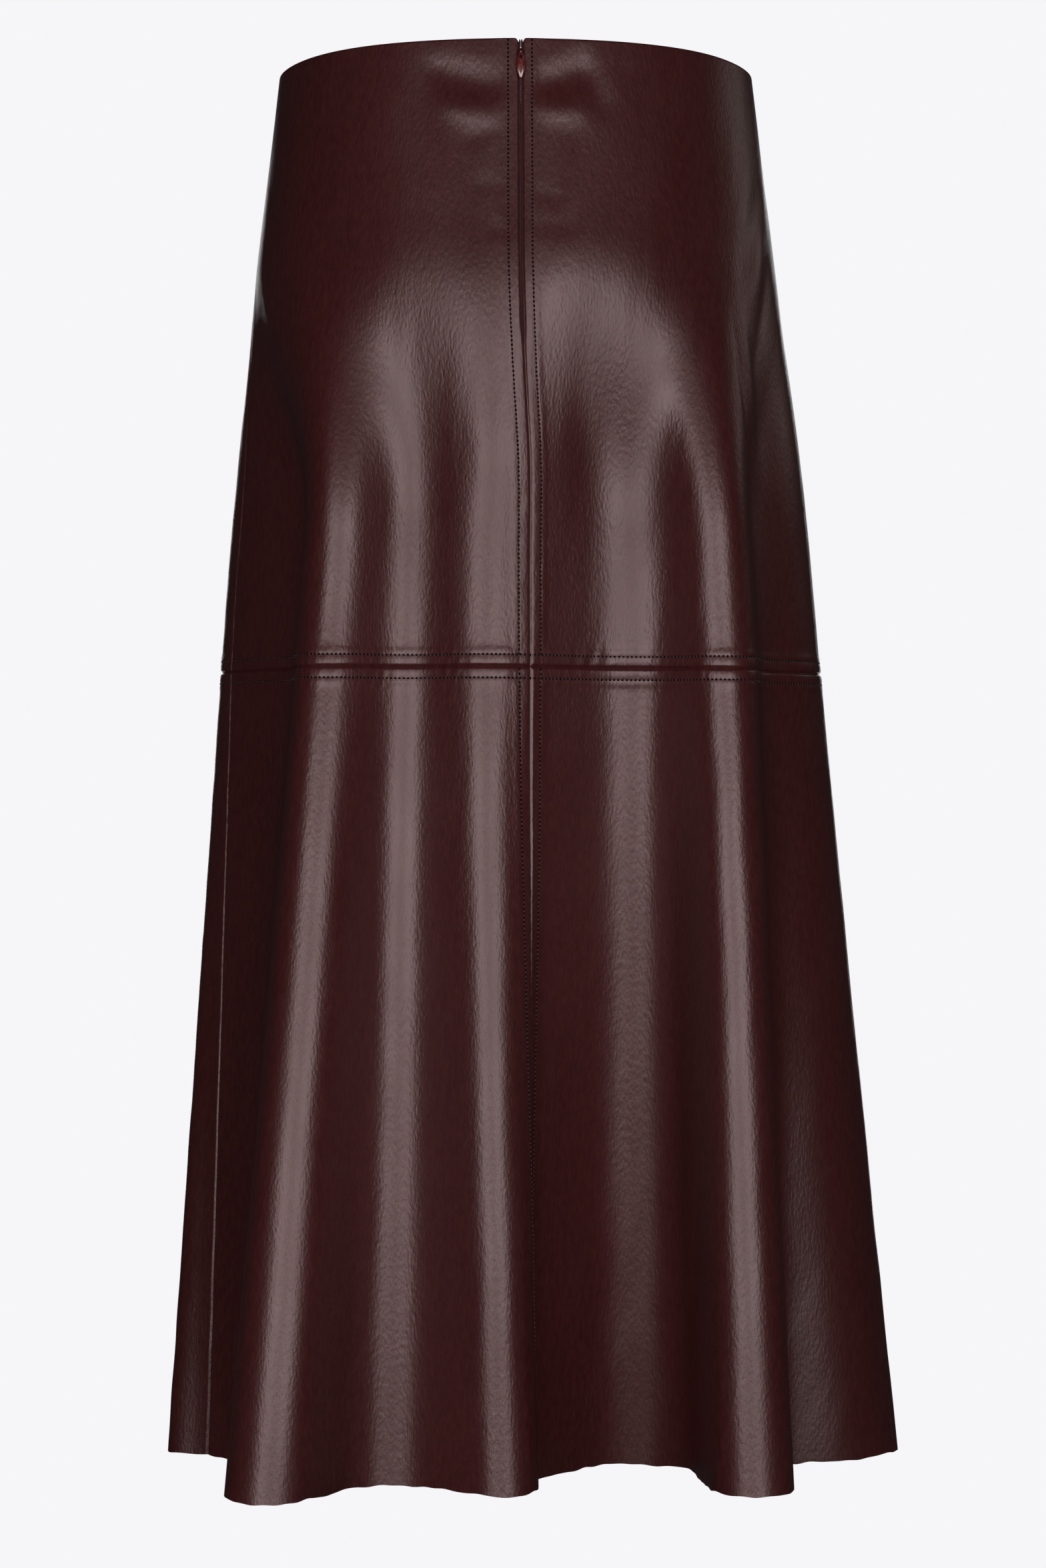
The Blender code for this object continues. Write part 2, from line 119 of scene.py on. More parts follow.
# Each fold is a crest (radius above zero) or a hollow (below zero), with its centre and radius in plan.
FOLDS = table(
    "Fold", "name hem_x hem_y hem_r knee_x knee_y knee_r",
    ("left side", -0.1890, -0.0205, 0.0090, -0.1040, 0.0040, 0.0650),
    ("left seam hollow", -0.1786, -0.0425, -0.0100, -0.1494, -0.0569, -0.0100),
    ("left deep hollow", -0.1630, -0.0600, -0.0110, -0.1335, -0.0780, -0.0120),
    ("left crest", -0.1300, -0.1600, 0.0245, -0.1000, -0.1080, 0.0200),
    ("left back hollow", -0.0660, -0.1580, -0.0300, -0.0590, -0.1290, -0.0220),
    ("centre crest", -0.0075, -0.1410, 0.0200, -0.0163, -0.1060, 0.0210),
    ("centre edge", 0.0055, -0.1365, 0.0080, -0.0012, -0.1138, 0.0080),
    ("centre tuck", 0.0125, -0.1185, -0.0070, 0.0205, -0.1215, -0.0100),
    ("right back hollow", 0.0660, -0.0940, -0.0315, 0.0620, -0.1270, -0.0360),
    ("right crest", 0.1270, -0.1410, 0.0225, 0.1130, -0.1010, 0.0190),
    ("right deep hollow", 0.1550, -0.0705, -0.0105, 0.1500, -0.0780, -0.0160),
    ("right side", 0.1608, -0.0015, 0.0570, 0.1160, -0.0100, 0.0580),
    ("front right hollow", 0.1620, 0.1130, -0.0200, 0.1400, 0.1010, -0.0240),
    ("front right crest", 0.1080, 0.1290, 0.0260, 0.0890, 0.1020, 0.0240),
    ("front hollow", 0.0470, 0.1520, -0.0300, 0.0400, 0.1410, -0.0300),
    ("front crest", -0.0120, 0.1280, 0.0270, -0.0100, 0.1020, 0.0240),
    ("front left hollow", -0.0680, 0.1480, -0.0300, -0.0580, 0.1380, -0.0280),
    ("front left crest", -0.1220, 0.1190, 0.0270, -0.0980, 0.0930, 0.0230),
    ("side front hollow", -0.1780, 0.0800, -0.0200, -0.1480, 0.0860, -0.0200),
)

# Where the long seams cross the knee and hem sections, in plan, and their angle round the waist.
SEAM_LINES = table(
    "SeamLine", "name waist_angle knee_x knee_y hem_x hem_y",
    ("left side", -90.0, -0.1655, -0.0150, -0.1726, -0.0345),
    ("centre back", 1.3, 0.0085, -0.1165, 0.0115, -0.1260),
    ("right side", 90.0, 0.1715, -0.0120, 0.2080, -0.0200),
)

# ---- Sewing ----
CLOTH_GAP = 0.00006  # between sewn edges
CROSS_ROW = 0.0063  # topstitch rows from the cross seam
CENTRE_ROW = 0.0065  # and from the centre-back seam
ROW_DEPTH = 0.00010  # thread pulls the cloth in by this
ROW_WIDTH = 0.0007
STITCH_PITCH = 0.00235
STITCH_LENGTH = 0.0014
THREAD_RADIUS = 0.00021
HOLE_RADIUS = 0.00078
ALLOWANCE = 0.0085  # cloth pressed open behind a seam, to each side
ALLOWANCE_RISE = 0.00030  # how far it lifts the outside
ALLOWANCE_SOFT = 0.0028  # easing to none over this
SEAM_DEPTH = 0.0010  # sewn edges roll in by this
SEAM_WIDTH = 0.00070
PLY = 0.0010  # thickness of what is turned in or pressed open behind the cloth
PLY_SOFT = 0.0015  # its edge eases over this
CROSS_SWELL = 0.00016  # fullness between a seam and its stitches
SLIT_SWELL = 0.00012
TURNED_EDGE = 0.0100  # cloth turned in at the waist
TURNED_RISE = 0.00012
TURNED_SOFT = 0.006
UNEVEN = 0.00010  # slow unevenness of the cloth
RIPPLE = 0.00002
PUCKER = 0.00010  # gathers beside the seams

EDGE_FIRMNESS = 0.85  # share of a crease that the turned edge at the waist holds flat
CREASE_BEND = 0.06  # sideways bow of a crease, as a share of its length
CREASE_HALF = 0.42  # share of its length over which it swells and dies out

# A crease is a soft ridge (height above zero) or trough between two points. Each point has a share of
# the way between the seams (0 left side, 1 centre back, 2 right side, 3 left side again) and a drop.
CREASES = table(
    "Crease", "start start_drop end end_drop width height",
    (0.720, 0.009, 0.975, 0.030, 0.0095, -0.0015),
    (0.760, 0.032, 0.970, 0.039, 0.0085, 0.0013),
    (1.020, 0.023, 1.230, 0.015, 0.0095, -0.0015),
    (1.030, 0.035, 1.220, 0.037, 0.0085, 0.0014),
    (1.190, 0.008, 1.250, 0.044, 0.0080, -0.0006),
    (0.955, 0.050, 0.830, 0.056, 0.0050, -0.0004),
    (0.965, 0.083, 0.860, 0.080, 0.0045, -0.00035),
    (1.030, 0.082, 1.120, 0.089, 0.0045, -0.00035),
    (1.020, 0.100, 1.170, 0.104, 0.0055, -0.00035),
    (0.975, 0.108, 0.900, 0.104, 0.0045, -0.00035),
    (0.860, 0.222, 1.140, 0.222, 0.0340, 0.0022),
    (1.880, 0.065, 1.640, 0.122, 0.0100, -0.0009),
    (1.850, 0.090, 1.690, 0.140, 0.0080, 0.0007),
    (1.860, 0.115, 1.700, 0.185, 0.0085, -0.0009),
    (1.690, 0.145, 1.800, 0.250, 0.0075, 0.0010),
    (1.640, 0.150, 1.700, 0.240, 0.0040, -0.0006),
    (0.120, 0.060, 0.260, 0.110, 0.0100, -0.0005),
    (0.130, 0.110, 0.280, 0.175, 0.0110, 0.0004),
    (0.500, 0.592, 0.610, 0.612, 0.0035, -0.0005),
    (1.280, 0.668, 1.480, 0.672, 0.0045, -0.00035),
    (1.240, 0.700, 1.340, 0.694, 0.0040, -0.00025),
    (2.050, 0.085, 2.240, 0.140, 0.0100, -0.0010),
    (2.060, 0.130, 2.210, 0.200, 0.0090, 0.0008),
    (2.400, 0.050, 2.520, 0.070, 0.0090, -0.0007),
    (2.560, 0.110, 2.690, 0.095, 0.0080, -0.0006),
    (2.780, 0.120, 2.930, 0.070, 0.0100, -0.0010),
    (2.800, 0.210, 2.950, 0.130, 0.0090, 0.0008),
    (2.330, 0.600, 2.400, 0.630, 0.0045, -0.0004),
    (2.610, 0.470, 2.660, 0.520, 0.0050, -0.0004),
)

# Distances from a sewn or cut edge at which the cloth is sampled.
SEAM_STEPS = np.array([
    0.0, 0.00022, 0.00045, 0.0008, 0.0013, 0.0019, 0.0027, 0.0037, 0.0047, 0.0054, 0.0059,
    0.0063, 0.0067, 0.0072, 0.0080, 0.0090, 0.0102, 0.0116,
])
SIDE_STEPS = np.array([
    0.0, 0.00022, 0.00045, 0.0008, 0.0013, 0.0020, 0.0030, 0.0045, 0.0065, 0.0085, 0.0105,
])
WAIST_STEPS = np.array([
    0.0, 0.00005, 0.0002, 0.00045, 0.0008, 0.0012, 0.0018, 0.0028, 0.0042, 0.0060, 0.0080, 0.0100,
])
HEM_STEPS = np.array([0.0, 0.0002, 0.0006, 0.0015, 0.0030, 0.0050])
BACK_COLUMN = 0.0024  # sampling along the hem
FRONT_COLUMN = 0.0032
ROW = 0.0030  # sampling downwards

NOTCH_DEPTH = 0.0024  # the panels' top corners are rounded off beside the zip
NOTCH_WIDTH = 0.0011
RIM = 0.00004  # least thickness at the rounded top edge
ROW_MARGIN = 0.0010  # stitch rows start this far inside a panel
DOWN = np.array([0.0, 0.0, -1.0])
RIGHT = np.array([1.0, 0.0, 0.0])
THREAD_ALONG = np.array([0.0, 0.12, 0.30, 0.50, 0.70, 0.88, 1.0])  # shares of a stitch
THREAD_LIFT = np.array([-1.4, -0.3, 0.45, 0.65, 0.45, -0.3, -1.4])  # in thread radii above the cloth
THREAD_SWELL = np.array([0.75, 0.95, 1.0, 1.0, 1.0, 0.95, 0.75])
HOLE_DEPTHS = np.array([-0.30, 0.02, 0.10])  # in hole radii above the cloth
HOLE_SWELL = np.array([0.5, 1.0, 0.6])

# ---- Zip ----
TAPE_TOP = 0.0042
TAPE_EDGE_TOP = -0.0006  # the tape's folded edges reach the waist edge between the panels
TAPE_EDGE = 0.0002  # from the centre to the tape's folded edge
NECK_HALF = 0.0012  # and this much more beside the slider
NECK_LENGTH = 0.003
TAPE_RIB = 0.00012
TAPE_RIB_AWAY = 0.0105
TAPE_SHARES = np.array([0.0, 0.06, 0.15, 0.28, 0.42, 0.56, 0.68, 0.78, 0.84, 0.88, 0.92, 0.96, 1.0])
SLIDER_FOOT = 0.0135
BEAD_AWAY = 0.00056  # coil from the centre line
BEAD_DEPTH = 0.0019
BEAD_RADIUS = 0.00052
BEAD_TIP = 0.35  # share of the radius at its ends
LOOP_PITCH = 0.0012
LOOP_REACH = 0.0016  # loops of the coil across the centre line
LOOP_HALF = 0.00028
LOOP_RADIUS = 0.00022
BRIDGE_CLEAR = 0.0029  # the coil stops this far above and below the tab's hinge
BRIDGE_OUT = 0.0014
BRIDGE_HALF = 0.0020
BRIDGE_RADIUS = 0.00062
BRIDGE_FLATNESS = 0.62
BRIDGE_SUNK = 0.0004  # its feet go this far into the slider
SLIDER_HALF = 0.0026
SLIDER_TALL = 0.0041
SLIDER_CLEAR = 0.0011  # behind the tape
SLIDER_RINGS = (  # depth and size: two flanges with a waist between them
    (0.0, 0.86), (0.0002, 0.96), (0.0005, 1.0), (0.0006, 0.8),
    (0.0015, 0.8), (0.0016, 1.0), (0.0019, 0.96), (0.0021, 0.86),
)
PULL_TOP = 0.0008  # the tab's top edge above its hinge
PULL_DOME = 0.00075
PULL_ROUND = 0.0019
PULL_LIP = 0.0005
PULL_RIM = 0.00008

# ---- Flat cuts of the panels ----
UPPER_LENGTH = 0.345
LOWER_LENGTH = 0.440
PANEL_WIDTHS = {  # at the waist, the cross seam and the hem
    "back_{}_left": (0.190, 0.244, 0.373),
    "back_{}_right": (0.184, 0.247, 0.418),
    "front_{}": (0.375, 0.524, 0.709),
}

# ---- Colours ----
LEATHER_COLOUR = (0.040, 0.0072, 0.0076)
LEATHER_DEEP = (0.033, 0.0057, 0.0060)
LEATHER_LIGHT = (0.062, 0.015, 0.015)
SPECULAR_TINT = (1.0, 0.80, 0.80)
BACKING_COLOUR = (0.035, 0.013, 0.013)
BACKING_LIGHT = (0.060, 0.028, 0.026)
EDGE_COLOUR = (0.022, 0.008, 0.008)
THREAD_COLOUR = (0.030, 0.006, 0.007)
# near-black painted shade for the needle holes, drawn as small discs
HOLE_SHADE_COLOUR = (0.0015, 0.0004, 0.0004)
TAPE_COLOUR = (0.030, 0.006, 0.007)
LACQUER_COLOUR = (0.085, 0.008, 0.008)
LACQUER_RUBBED = (0.13, 0.035, 0.03)
ROUGH_LOW, ROUGH_HIGH = 0.33, 0.39
GRAIN_HEIGHT = 0.00016
BACKING_HEIGHT = 0.00018
EDGE_HEIGHT = 0.00015
THREAD_HEIGHT = 0.00006
WEAVE_HEIGHT = 0.0001
RUB_HEIGHT = 0.00003

# ---- Studio ----
STUDIO_COLOUR = (0.922, 0.913, 0.939)
AMBIENT = (0.022, 0.022, 0.023)
FLOOR_LEVEL = -1.03
FLOOR_SIZE = 30.0
FLOOR_SHADE = (0.20, 0.85, 0.70, 1.0)  # from and to this far out, the share of glow in the floor
CAMERA_PLACE = (0.0042, -2.19, -0.405)
CAMERA_LENS = 88.05  # millimetres, on a sensor 36 mm high
WHITE = (1.0, 1.0, 1.0)
LAMPS = table(
    "Lamp", "name bearing distance level tilt width height power colour",
    ("left softbox", -20.0, 2.40, -0.25, 0.0, 1.28, 1.04, 27.0, WHITE),
    ("right softbox", 20.0, 2.40, -0.25, 0.0, 1.28, 1.04, 27.0, WHITE),
    ("front fill", 0.0, 2.40, -0.25, 0.0, 0.42, 1.04, 2.2, WHITE),
    ("inside fill", 0.0, 0.0, -0.45, 90.0, 0.14, 0.12, 0.5, WHITE),
    ("right hip strip", 118.0, 2.40, 0.55, -14.0, 0.60, 0.45, 1.2, (1.0, 0.96, 0.88)),
    ("left rear box", -166.0, 2.60, -0.25, 0.0, 0.60, 1.30, 11.0, WHITE),
    ("right rear box", 166.0, 2.60, -0.25, 0.0, 0.60, 1.30, 11.0, WHITE),
)


# ---- Rings ----
def belt(discs):
    """Closed outline that runs round (x, y, signed radius) discs, with each disc's place along it."""
    headings = []
    for here, after in zip(discs, discs[1:] + discs[:1]):
        dx, dy = after[0] - here[0], after[1] - here[1]
        headings.append(math.atan2(dy, dx) - math.asin((after[2] - here[2]) / math.hypot(dx, dy)))
    points, middles = [], []
    for i, (x, y, radius) in enumerate(discs):
        turn = (headings[i] - headings[i - 1] + math.pi) % (2.0 * math.pi) - math.pi
        steps = 2 * max(4, math.ceil(abs(turn * radius) / ARC_STEP))
        for k in range(steps + 1):
            heading = headings[i - 1] + turn * k / steps
            points.append((x + radius * math.sin(heading), y - radius * math.cos(heading)))
        middles.append(len(points) - 1 - steps // 2)
    return np.array(points), middles


def arc_lengths(points):
    """Distance along a closed outline to each of its points, and all the way round."""
    steps = np.linalg.norm(np.roll(points, -1, axis=0) - points, axis=1)
    return np.concatenate([[0.0], np.cumsum(steps)])


def smooth_ring(points, spread):
    """The ring with its positions averaged over a bell of this spread; points are evenly spaced."""
    step = arc_lengths(points)[-1] / len(points)
    waves = np.fft.rfftfreq(len(points), d=step)
    keep = np.exp(-2.0 * (math.pi * spread * waves) ** 2)
    return np.fft.irfft(np.fft.rfft(points, axis=0) * keep[:, None], n=len(points), axis=0)


class Ring:
    """A section of folded cloth, read by arc length from its left side seam."""

    def __init__(self, discs, seam_points):
        corners, middles = belt(discs)
        lengths = arc_lengths(corners)
        total = lengths[-1]
        count = int(total / RING_STEP)
        along = np.arange(count) * total / count
        closed = np.vstack([corners, corners[:1]])
        even = np.stack([np.interp(along, lengths, closed[:, k]) for k in (0, 1)], axis=1)
        even = smooth_ring(even, RING_SMOOTHING)
        seam_rows = [int(np.argmin(np.linalg.norm(even - np.array(p), axis=1))) for p in seam_points]
        start = seam_rows[0]
        self.points = np.roll(even, -start, axis=0)
        self.girth = arc_lengths(self.points)[-1]
        self.step = self.girth / count
        self.seams = [((row - start) % count) * self.step for row in seam_rows]
        self.folds = [((lengths[m] - along[start]) % total) * self.girth / total for m in middles]

    def at(self, distance):
        return smooth_read(self.points, np.asarray(distance) / self.step)


def smooth_read(column, index):
    """Values of a closed column at fractional rows, on a smooth curve through them."""
    count = len(column)
    row = np.floor(index).astype(int)
    t = index - row
    before, here, after, later = (column[(row + k) % count] for k in (-1, 0, 1, 2))
    if column.ndim > 1:
        t = t[..., None]
    bend = 2.0 * before - 5.0 * here + 4.0 * after - later
    twist = 3.0 * (here - after) + later - before
    return here + 0.5 * t * (after - before + t * (bend + t * twist))


def waist_angles(shares):
    """Angles round the waist, 0 at the back and 90 at the right side, at shares between its seams."""
    angles = np.radians(np.linspace(-90.0, 270.0, 7201))
    x, y = body_ring(angles, 0.0)
    lengths = np.concatenate([[0.0], np.cumsum(np.hypot(np.diff(x), np.diff(y)))])
    marks = [math.radians(s.waist_angle) for s in SEAM_LINES] + [math.radians(270.0)]
    mark_lengths = np.interp(marks, angles, lengths)
    return np.interp(np.interp(shares, np.arange(len(marks)), mark_lengths), lengths, angles)


def eased(drop, drops, values):
    """Smooth curve through a column of the sections table, cubic with averaged slopes."""
    drops, values = np.asarray(drops), np.asarray(values)
    secants = np.diff(values) / np.diff(drops)
    slopes = np.concatenate([secants[:1], 0.5 * (secants[1:] + secants[:-1]), secants[-1:]])
    drop = np.clip(drop, drops[0], drops[-1])
    i = np.clip(np.searchsorted(drops, drop, side="right") - 1, 0, len(drops) - 2)
    span = drops[i + 1] - drops[i]
    t = (drop - drops[i]) / span
    rise = values[i + 1] - values[i]
    bend = (slopes[i] * span - rise) * (1.0 - t) - (slopes[i + 1] * span - rise) * t
    return values[i] + t * rise + t * (1.0 - t) * bend


def body_ring(angles, drop):
    """The plain ring that the cloth would take without folds: two half ellipses."""
    drops, *columns = zip(*BODY_SECTIONS)
    width, back, front = (eased(drop, drops, column) for column in columns)
    forward = -np.cos(angles)
    return width * np.sin(angles), forward * np.where(forward < 0.0, back, front)


class Cloth:
    """The skirt's outer surface: place(distance along the hem, drop below the waist) to points."""

    def __init__(self):
        hem_discs = [(f.hem_x, f.hem_y, f.hem_r) for f in FOLDS]
        knee_discs = [(f.knee_x, f.knee_y, f.knee_r) for f in FOLDS]
        self.hem = Ring(hem_discs, [(s.hem_x, s.hem_y) for s in SEAM_LINES])
        self.knee = Ring(knee_discs, [(s.knee_x, s.knee_y) for s in SEAM_LINES])
        self.girth = self.hem.girth
        self.seams = self.hem.seams + [self.girth]
        pairs = list(zip(self.seams, self.knee.seams + [self.knee.girth]))
        for hem_place, knee_place in zip(self.hem.folds, self.knee.folds):
            if min(abs(hem_place - s) for s in self.seams) > PAIR_APART:
                pairs.append((hem_place, knee_place))
        pairs.sort()
        self.rows = int(self.girth / RING_STEP)
        grid = np.arange(self.rows) * self.girth / self.rows
        knee_place = np.interp(grid, [p[0] for p in pairs], [p[1] for p in pairs])
        self.angles = waist_angles(np.interp(grid, self.seams, np.arange(len(self.seams))))
        at_knee = np.stack(body_ring(self.angles, KNEE_LEVEL), axis=1)
        at_hem = np.stack(body_ring(self.angles, SKIRT_LENGTH), axis=1)
        self.knee_fold = smooth_ring(self.knee.at(knee_place) - at_knee, RING_SMOOTHING)
        self.hem_fold = smooth_ring(self.hem.at(grid) - at_hem, 0.5 * RING_SMOOTHING)
        sag = SEAM_SIDE_SAG * ease((np.abs(self.knee.at(knee_place)[:, 0]) - SAG_FROM) / SAG_SOFT)
        self.seam_drops = SEAM_DROP + smooth_ring(sag[:, None], 2.0 * RING_SMOOTHING)[:, 0]

    def read(self, column, distance):
        return smooth_read(column, np.asarray(distance) * self.rows / self.girth)

    def turn(self, distance):
        """Angle round the body at a place, which jumps by a full turn at the left side seam."""
        steps = np.append(self.angles, self.angles[0] + 2.0 * math.pi)
        return np.interp(distance * self.rows / self.girth, np.arange(self.rows + 1), steps)

    def seam_drop(self, distance):
        return self.read(self.seam_drops, distance)

    def waist_drop(self, distance):
        side = np.abs(np.sin(self.turn(distance))) ** 6
        return (WAIST_LIFT + WAIST_SIDE_DIP) * side - WAIST_LIFT

    def place(self, distance, drop):
        distance = np.mod(distance, self.girth)
        body = body_ring(self.turn(distance), drop)
        below = np.clip((drop - KNEE_LEVEL) / (SKIRT_LENGTH - KNEE_LEVEL), 0.0, None)
        rise = ease((drop - FOLD_START) / (FOLD_FULL - FOLD_START))
        reach = KNEE_LEVEL - FOLD_START
        t = np.clip((drop - FOLD_START) / reach, 0.0, 1.0)
        lead = t * t * (t - 1.0) * reach / (SKIRT_LENGTH - KNEE_LEVEL)
        out = []
        for k in (0, 1):
            knee = self.read(self.knee_fold[:, k], distance)
            growth = self.read(self.hem_fold[:, k], distance) - knee
            out.append(body[k] + knee * rise + growth * (below + lead))
        return stack(*out, -drop)

    def normals(self, distance, drop):
        """Outward directions, level with the ground."""
        along = self.place(distance + RING_STEP, drop) - self.place(distance - RING_STEP, drop)
        level = stack(along[..., 1], -along[..., 0], 0.0)
        return level / np.linalg.norm(level, axis=-1, keepdims=True)

    def speed(self, distance, drop):
        """Length of cloth at this level for each metre along the hem."""
        along = self.place(distance + RING_STEP, drop) - self.place(distance - RING_STEP, drop)
        return np.linalg.norm(along, axis=-1) / (2.0 * RING_STEP)


# ---- Relief: seams, puckers and creases ----
def plateau(x, half, soft):
    """1 within half of the line, easing to 0 over soft."""
    return ease((half + soft - np.abs(x)) / soft)


def bell(x, width):
    return np.exp(-((x / width) ** 2))


class Waves:
    """Seeded sum of plane waves over (across, down), about 1 high, for uneven cloth."""

    def __init__(self, seed, across, down, count=28):
        chance = np.random.default_rng(seed)
        self.across = 2.0 * math.pi / chance.uniform(*across, count) * chance.choice((-1.0, 1.0), count)
        self.down = 2.0 * math.pi / chance.uniform(*down, count)
        self.phase = chance.uniform(0.0, 2.0 * math.pi, count)
        self.height = math.sqrt(2.0 / count)

    def at(self, across, down):
        total = np.zeros(np.broadcast(across, down).shape)
        for a, d, p in zip(self.across, self.down, self.phase):
            total += np.sin(a * across + d * down + p)
        return total * self.height


def slit_half(drop):
    """Half the opening between the upper back panels: the zip's slit, closing to a plain seam."""
    closing = np.clip((ZIP_LENGTH - drop) / ZIP_TAPER, 0.0, 1.0)
    return 0.5 * CLOTH_GAP + (SLIT_HALF - 0.5 * CLOTH_GAP) * closing


class Relief:
    """Height of the outside above the cloth's plain form: seams, puckers and creases."""

    def __init__(self, cloth):
        self.cloth = cloth
        self.broad = Waves(3, (0.045, 0.090), (0.12, 0.40))
        self.ripples = Waves(5, (0.012, 0.030), (0.06, 0.25))
        self.pucker = Waves(7, (0.0065, 0.013), (0.02, 0.06))
        self.patches = Waves(11, (0.05, 0.12), (0.05, 0.20))

    def edges(self, place, drop):
        """Lengths of cloth from the left, centre-back and right seams, the cross seam and the waist."""
        out = []
        for k, seam in enumerate(self.cloth.seams[:3]):
            away = place - seam
            if k == 0:
                away = np.where(away > 0.5 * self.cloth.girth, away - self.cloth.girth, away)
            out.append(away * self.cloth.speed(seam, drop))
        round_hem = np.mod(place, self.cloth.girth)
        return *out, drop - self.cloth.seam_drop(round_hem), drop - self.cloth.waist_drop(round_hem)

    def creases(self, place, drop):
        """Height of all the creases, each swelling and dying out along its length."""
        cloth = self.cloth
        height = np.zeros(np.broadcast(place, drop).shape)
        for c in CREASES:
            start, end = np.interp((c.start, c.end), np.arange(len(cloth.seams)), cloth.seams)
            middle = self.level_ratio(0.5 * (c.start_drop + c.end_drop))
            run = np.array([(end - start) * middle, c.end_drop - c.start_drop])
            length = np.linalg.norm(run)
            run /= length
            beside = (place - start) * middle
            below = drop - c.start_drop
            along = (beside * run[0] + below * run[1]) / length
            off = beside * run[1] - below * run[0] + CREASE_BEND * length * np.sin(2.6 * along + c.start)
            spread = c.width * (0.75 + 0.5 * np.clip(along, 0.0, 1.0))
            fade = np.exp(-(((along - 0.5) / CREASE_HALF) ** 4))
            height += c.height * fade * bell(off, spread)
        top = drop - cloth.waist_drop(np.mod(place, cloth.girth))
        return height * (1.0 - EDGE_FIRMNESS * plateau(top, 0.0005, 0.007))

    def level_ratio(self, drop):
        """Girth at this level as a share of the hem's."""
        return np.interp(drop, GIRTH_LEVELS, GIRTH_SHARES)

    def at(self, place, drop):
        left, centre, right, cross, top = self.edges(place, drop)
        slit_edge = np.abs(centre) - slit_half(drop)
        across = place * self.level_ratio(drop)

        rise = ALLOWANCE_RISE * plateau(cross, ALLOWANCE, ALLOWANCE_SOFT)
        rise = np.maximum(rise, ALLOWANCE_RISE * plateau(centre, ALLOWANCE, ALLOWANCE_SOFT))
        for side in (left, right):
            rise = np.maximum(rise, 0.55 * ALLOWANCE_RISE * plateau(side, 0.8 * ALLOWANCE, 0.0030))
        rise = np.maximum(rise, TURNED_RISE * plateau(top, TURNED_EDGE, TURNED_SOFT))
        swell = CROSS_SWELL * bell(np.abs(cross) - 0.0034, 0.0017)
        swell = swell + SLIT_SWELL * bell(slit_edge - 0.0030, 0.0016)
        rows = ROW_DEPTH * bell(np.abs(cross) - CROSS_ROW, ROW_WIDTH)
        rows = np.maximum(rows, ROW_DEPTH * bell(np.abs(centre) - CENTRE_ROW, ROW_WIDTH))
        valley = SEAM_DEPTH * bell(cross, 0.00075)
        valley = np.maximum(valley, SEAM_DEPTH * bell(np.maximum(slit_edge, 0.0), SEAM_WIDTH))
        for side in (left, right):
            valley = np.maximum(valley, 0.8 * SEAM_DEPTH * bell(side, 0.00065))

        near = np.maximum(bell(cross, 0.0105), 0.6 * bell(centre, 0.010))
        near = near * (0.55 + 0.45 * np.tanh(1.5 * self.patches.at(across, drop)))
        puckers = PUCKER * near * self.pucker.at(across, drop)
        free = 1.0 - 0.8 * plateau(top, 0.004, 0.03)
        uneven = free * (UNEVEN * self.broad.at(across, drop) + RIPPLE * self.ripples.at(across, drop))
        return rise + swell - rows - valley + puckers + uneven + self.creases(place, drop)

    def surface(self, place, drop, lift=0.0):
        points = self.cloth.place(place, drop)
        normals = self.cloth.normals(place, drop)
        return points + normals * (self.at(place, drop) + lift)[..., None]

    def wall(self, place, drop):
        """Thickness of the cloth, with what is folded or pressed open behind it."""
        left, centre, right, cross, top = self.edges(place, drop)
        behind = plateau(cross, ALLOWANCE, PLY_SOFT)
        for side in (left, right):
            behind = np.maximum(behind, plateau(side, ALLOWANCE, PLY_SOFT))
        below_zip = np.clip((drop - TAPE_LENGTH) / 0.006, 0.0, 1.0)
        behind = np.maximum(behind, below_zip * plateau(centre, ALLOWANCE, PLY_SOFT))
        clear_of_tape = 1.0 - plateau(centre, TAPE_WIDTH, 0.003)
        behind = np.maximum(behind, clear_of_tape * plateau(top, TURNED_EDGE, 0.0012))
        return CLOTH + PLY * behind


# ---- Meshes ----
def make_mesh(name, points, faces, materials, finishes=None, sharp=50.0):
    """Object from points and faces, faces being (count, corners) arrays with a material number each."""
    mesh = bpy.data.meshes.new(name)
    points = np.asarray(points, np.float32).reshape(-1, 3)
    counts = np.concatenate([np.full(len(f), f.shape[1]) for f in faces])
    corners = np.concatenate([f.ravel() for f in faces])
    mesh.vertices.add(len(points))
    mesh.vertices.foreach_set("co", points.ravel())
    mesh.loops.add(len(corners))
    mesh.loops.foreach_set("vertex_index", corners.astype(np.int32))
    mesh.polygons.add(len(counts))
    mesh.polygons.foreach_set("loop_start", (np.cumsum(counts) - counts).astype(np.int32))
    mesh.polygons.foreach_set("loop_total", counts.astype(np.int32))
    if finishes is not None:
        numbers = np.concatenate([np.full(len(f), n) for f, n in zip(faces, finishes)])
        mesh.polygons.foreach_set("material_index", numbers.astype(np.int32))
    mesh.update(calc_edges=True)
    mesh.validate()
    for finish in materials:
        mesh.materials.append(finish)
    mesh.shade_smooth()
    if sharp:
        mesh.set_sharp_from_angle(angle=math.radians(sharp))
    return add_object(name, mesh)


def add_object(name, data):
    made = bpy.data.objects.new(name, data)
    bpy.context.scene.collection.objects.link(made)
    return made


def grid_faces(numbers):
    """Quads of a grid of vertex numbers, facing the side from which the columns run to the right."""
    quads = stack(numbers[:-1, :-1], numbers[1:, :-1], numbers[1:, 1:], numbers[:-1, 1:])
    return quads.reshape(-1, 4)


def border(numbers):
    """Vertex numbers round a grid: along the top, down the right, back along the foot and up."""
    return np.concatenate([numbers[0, :-1], numbers[:-1, -1], numbers[-1, :0:-1], numbers[:0:-1, 0]])


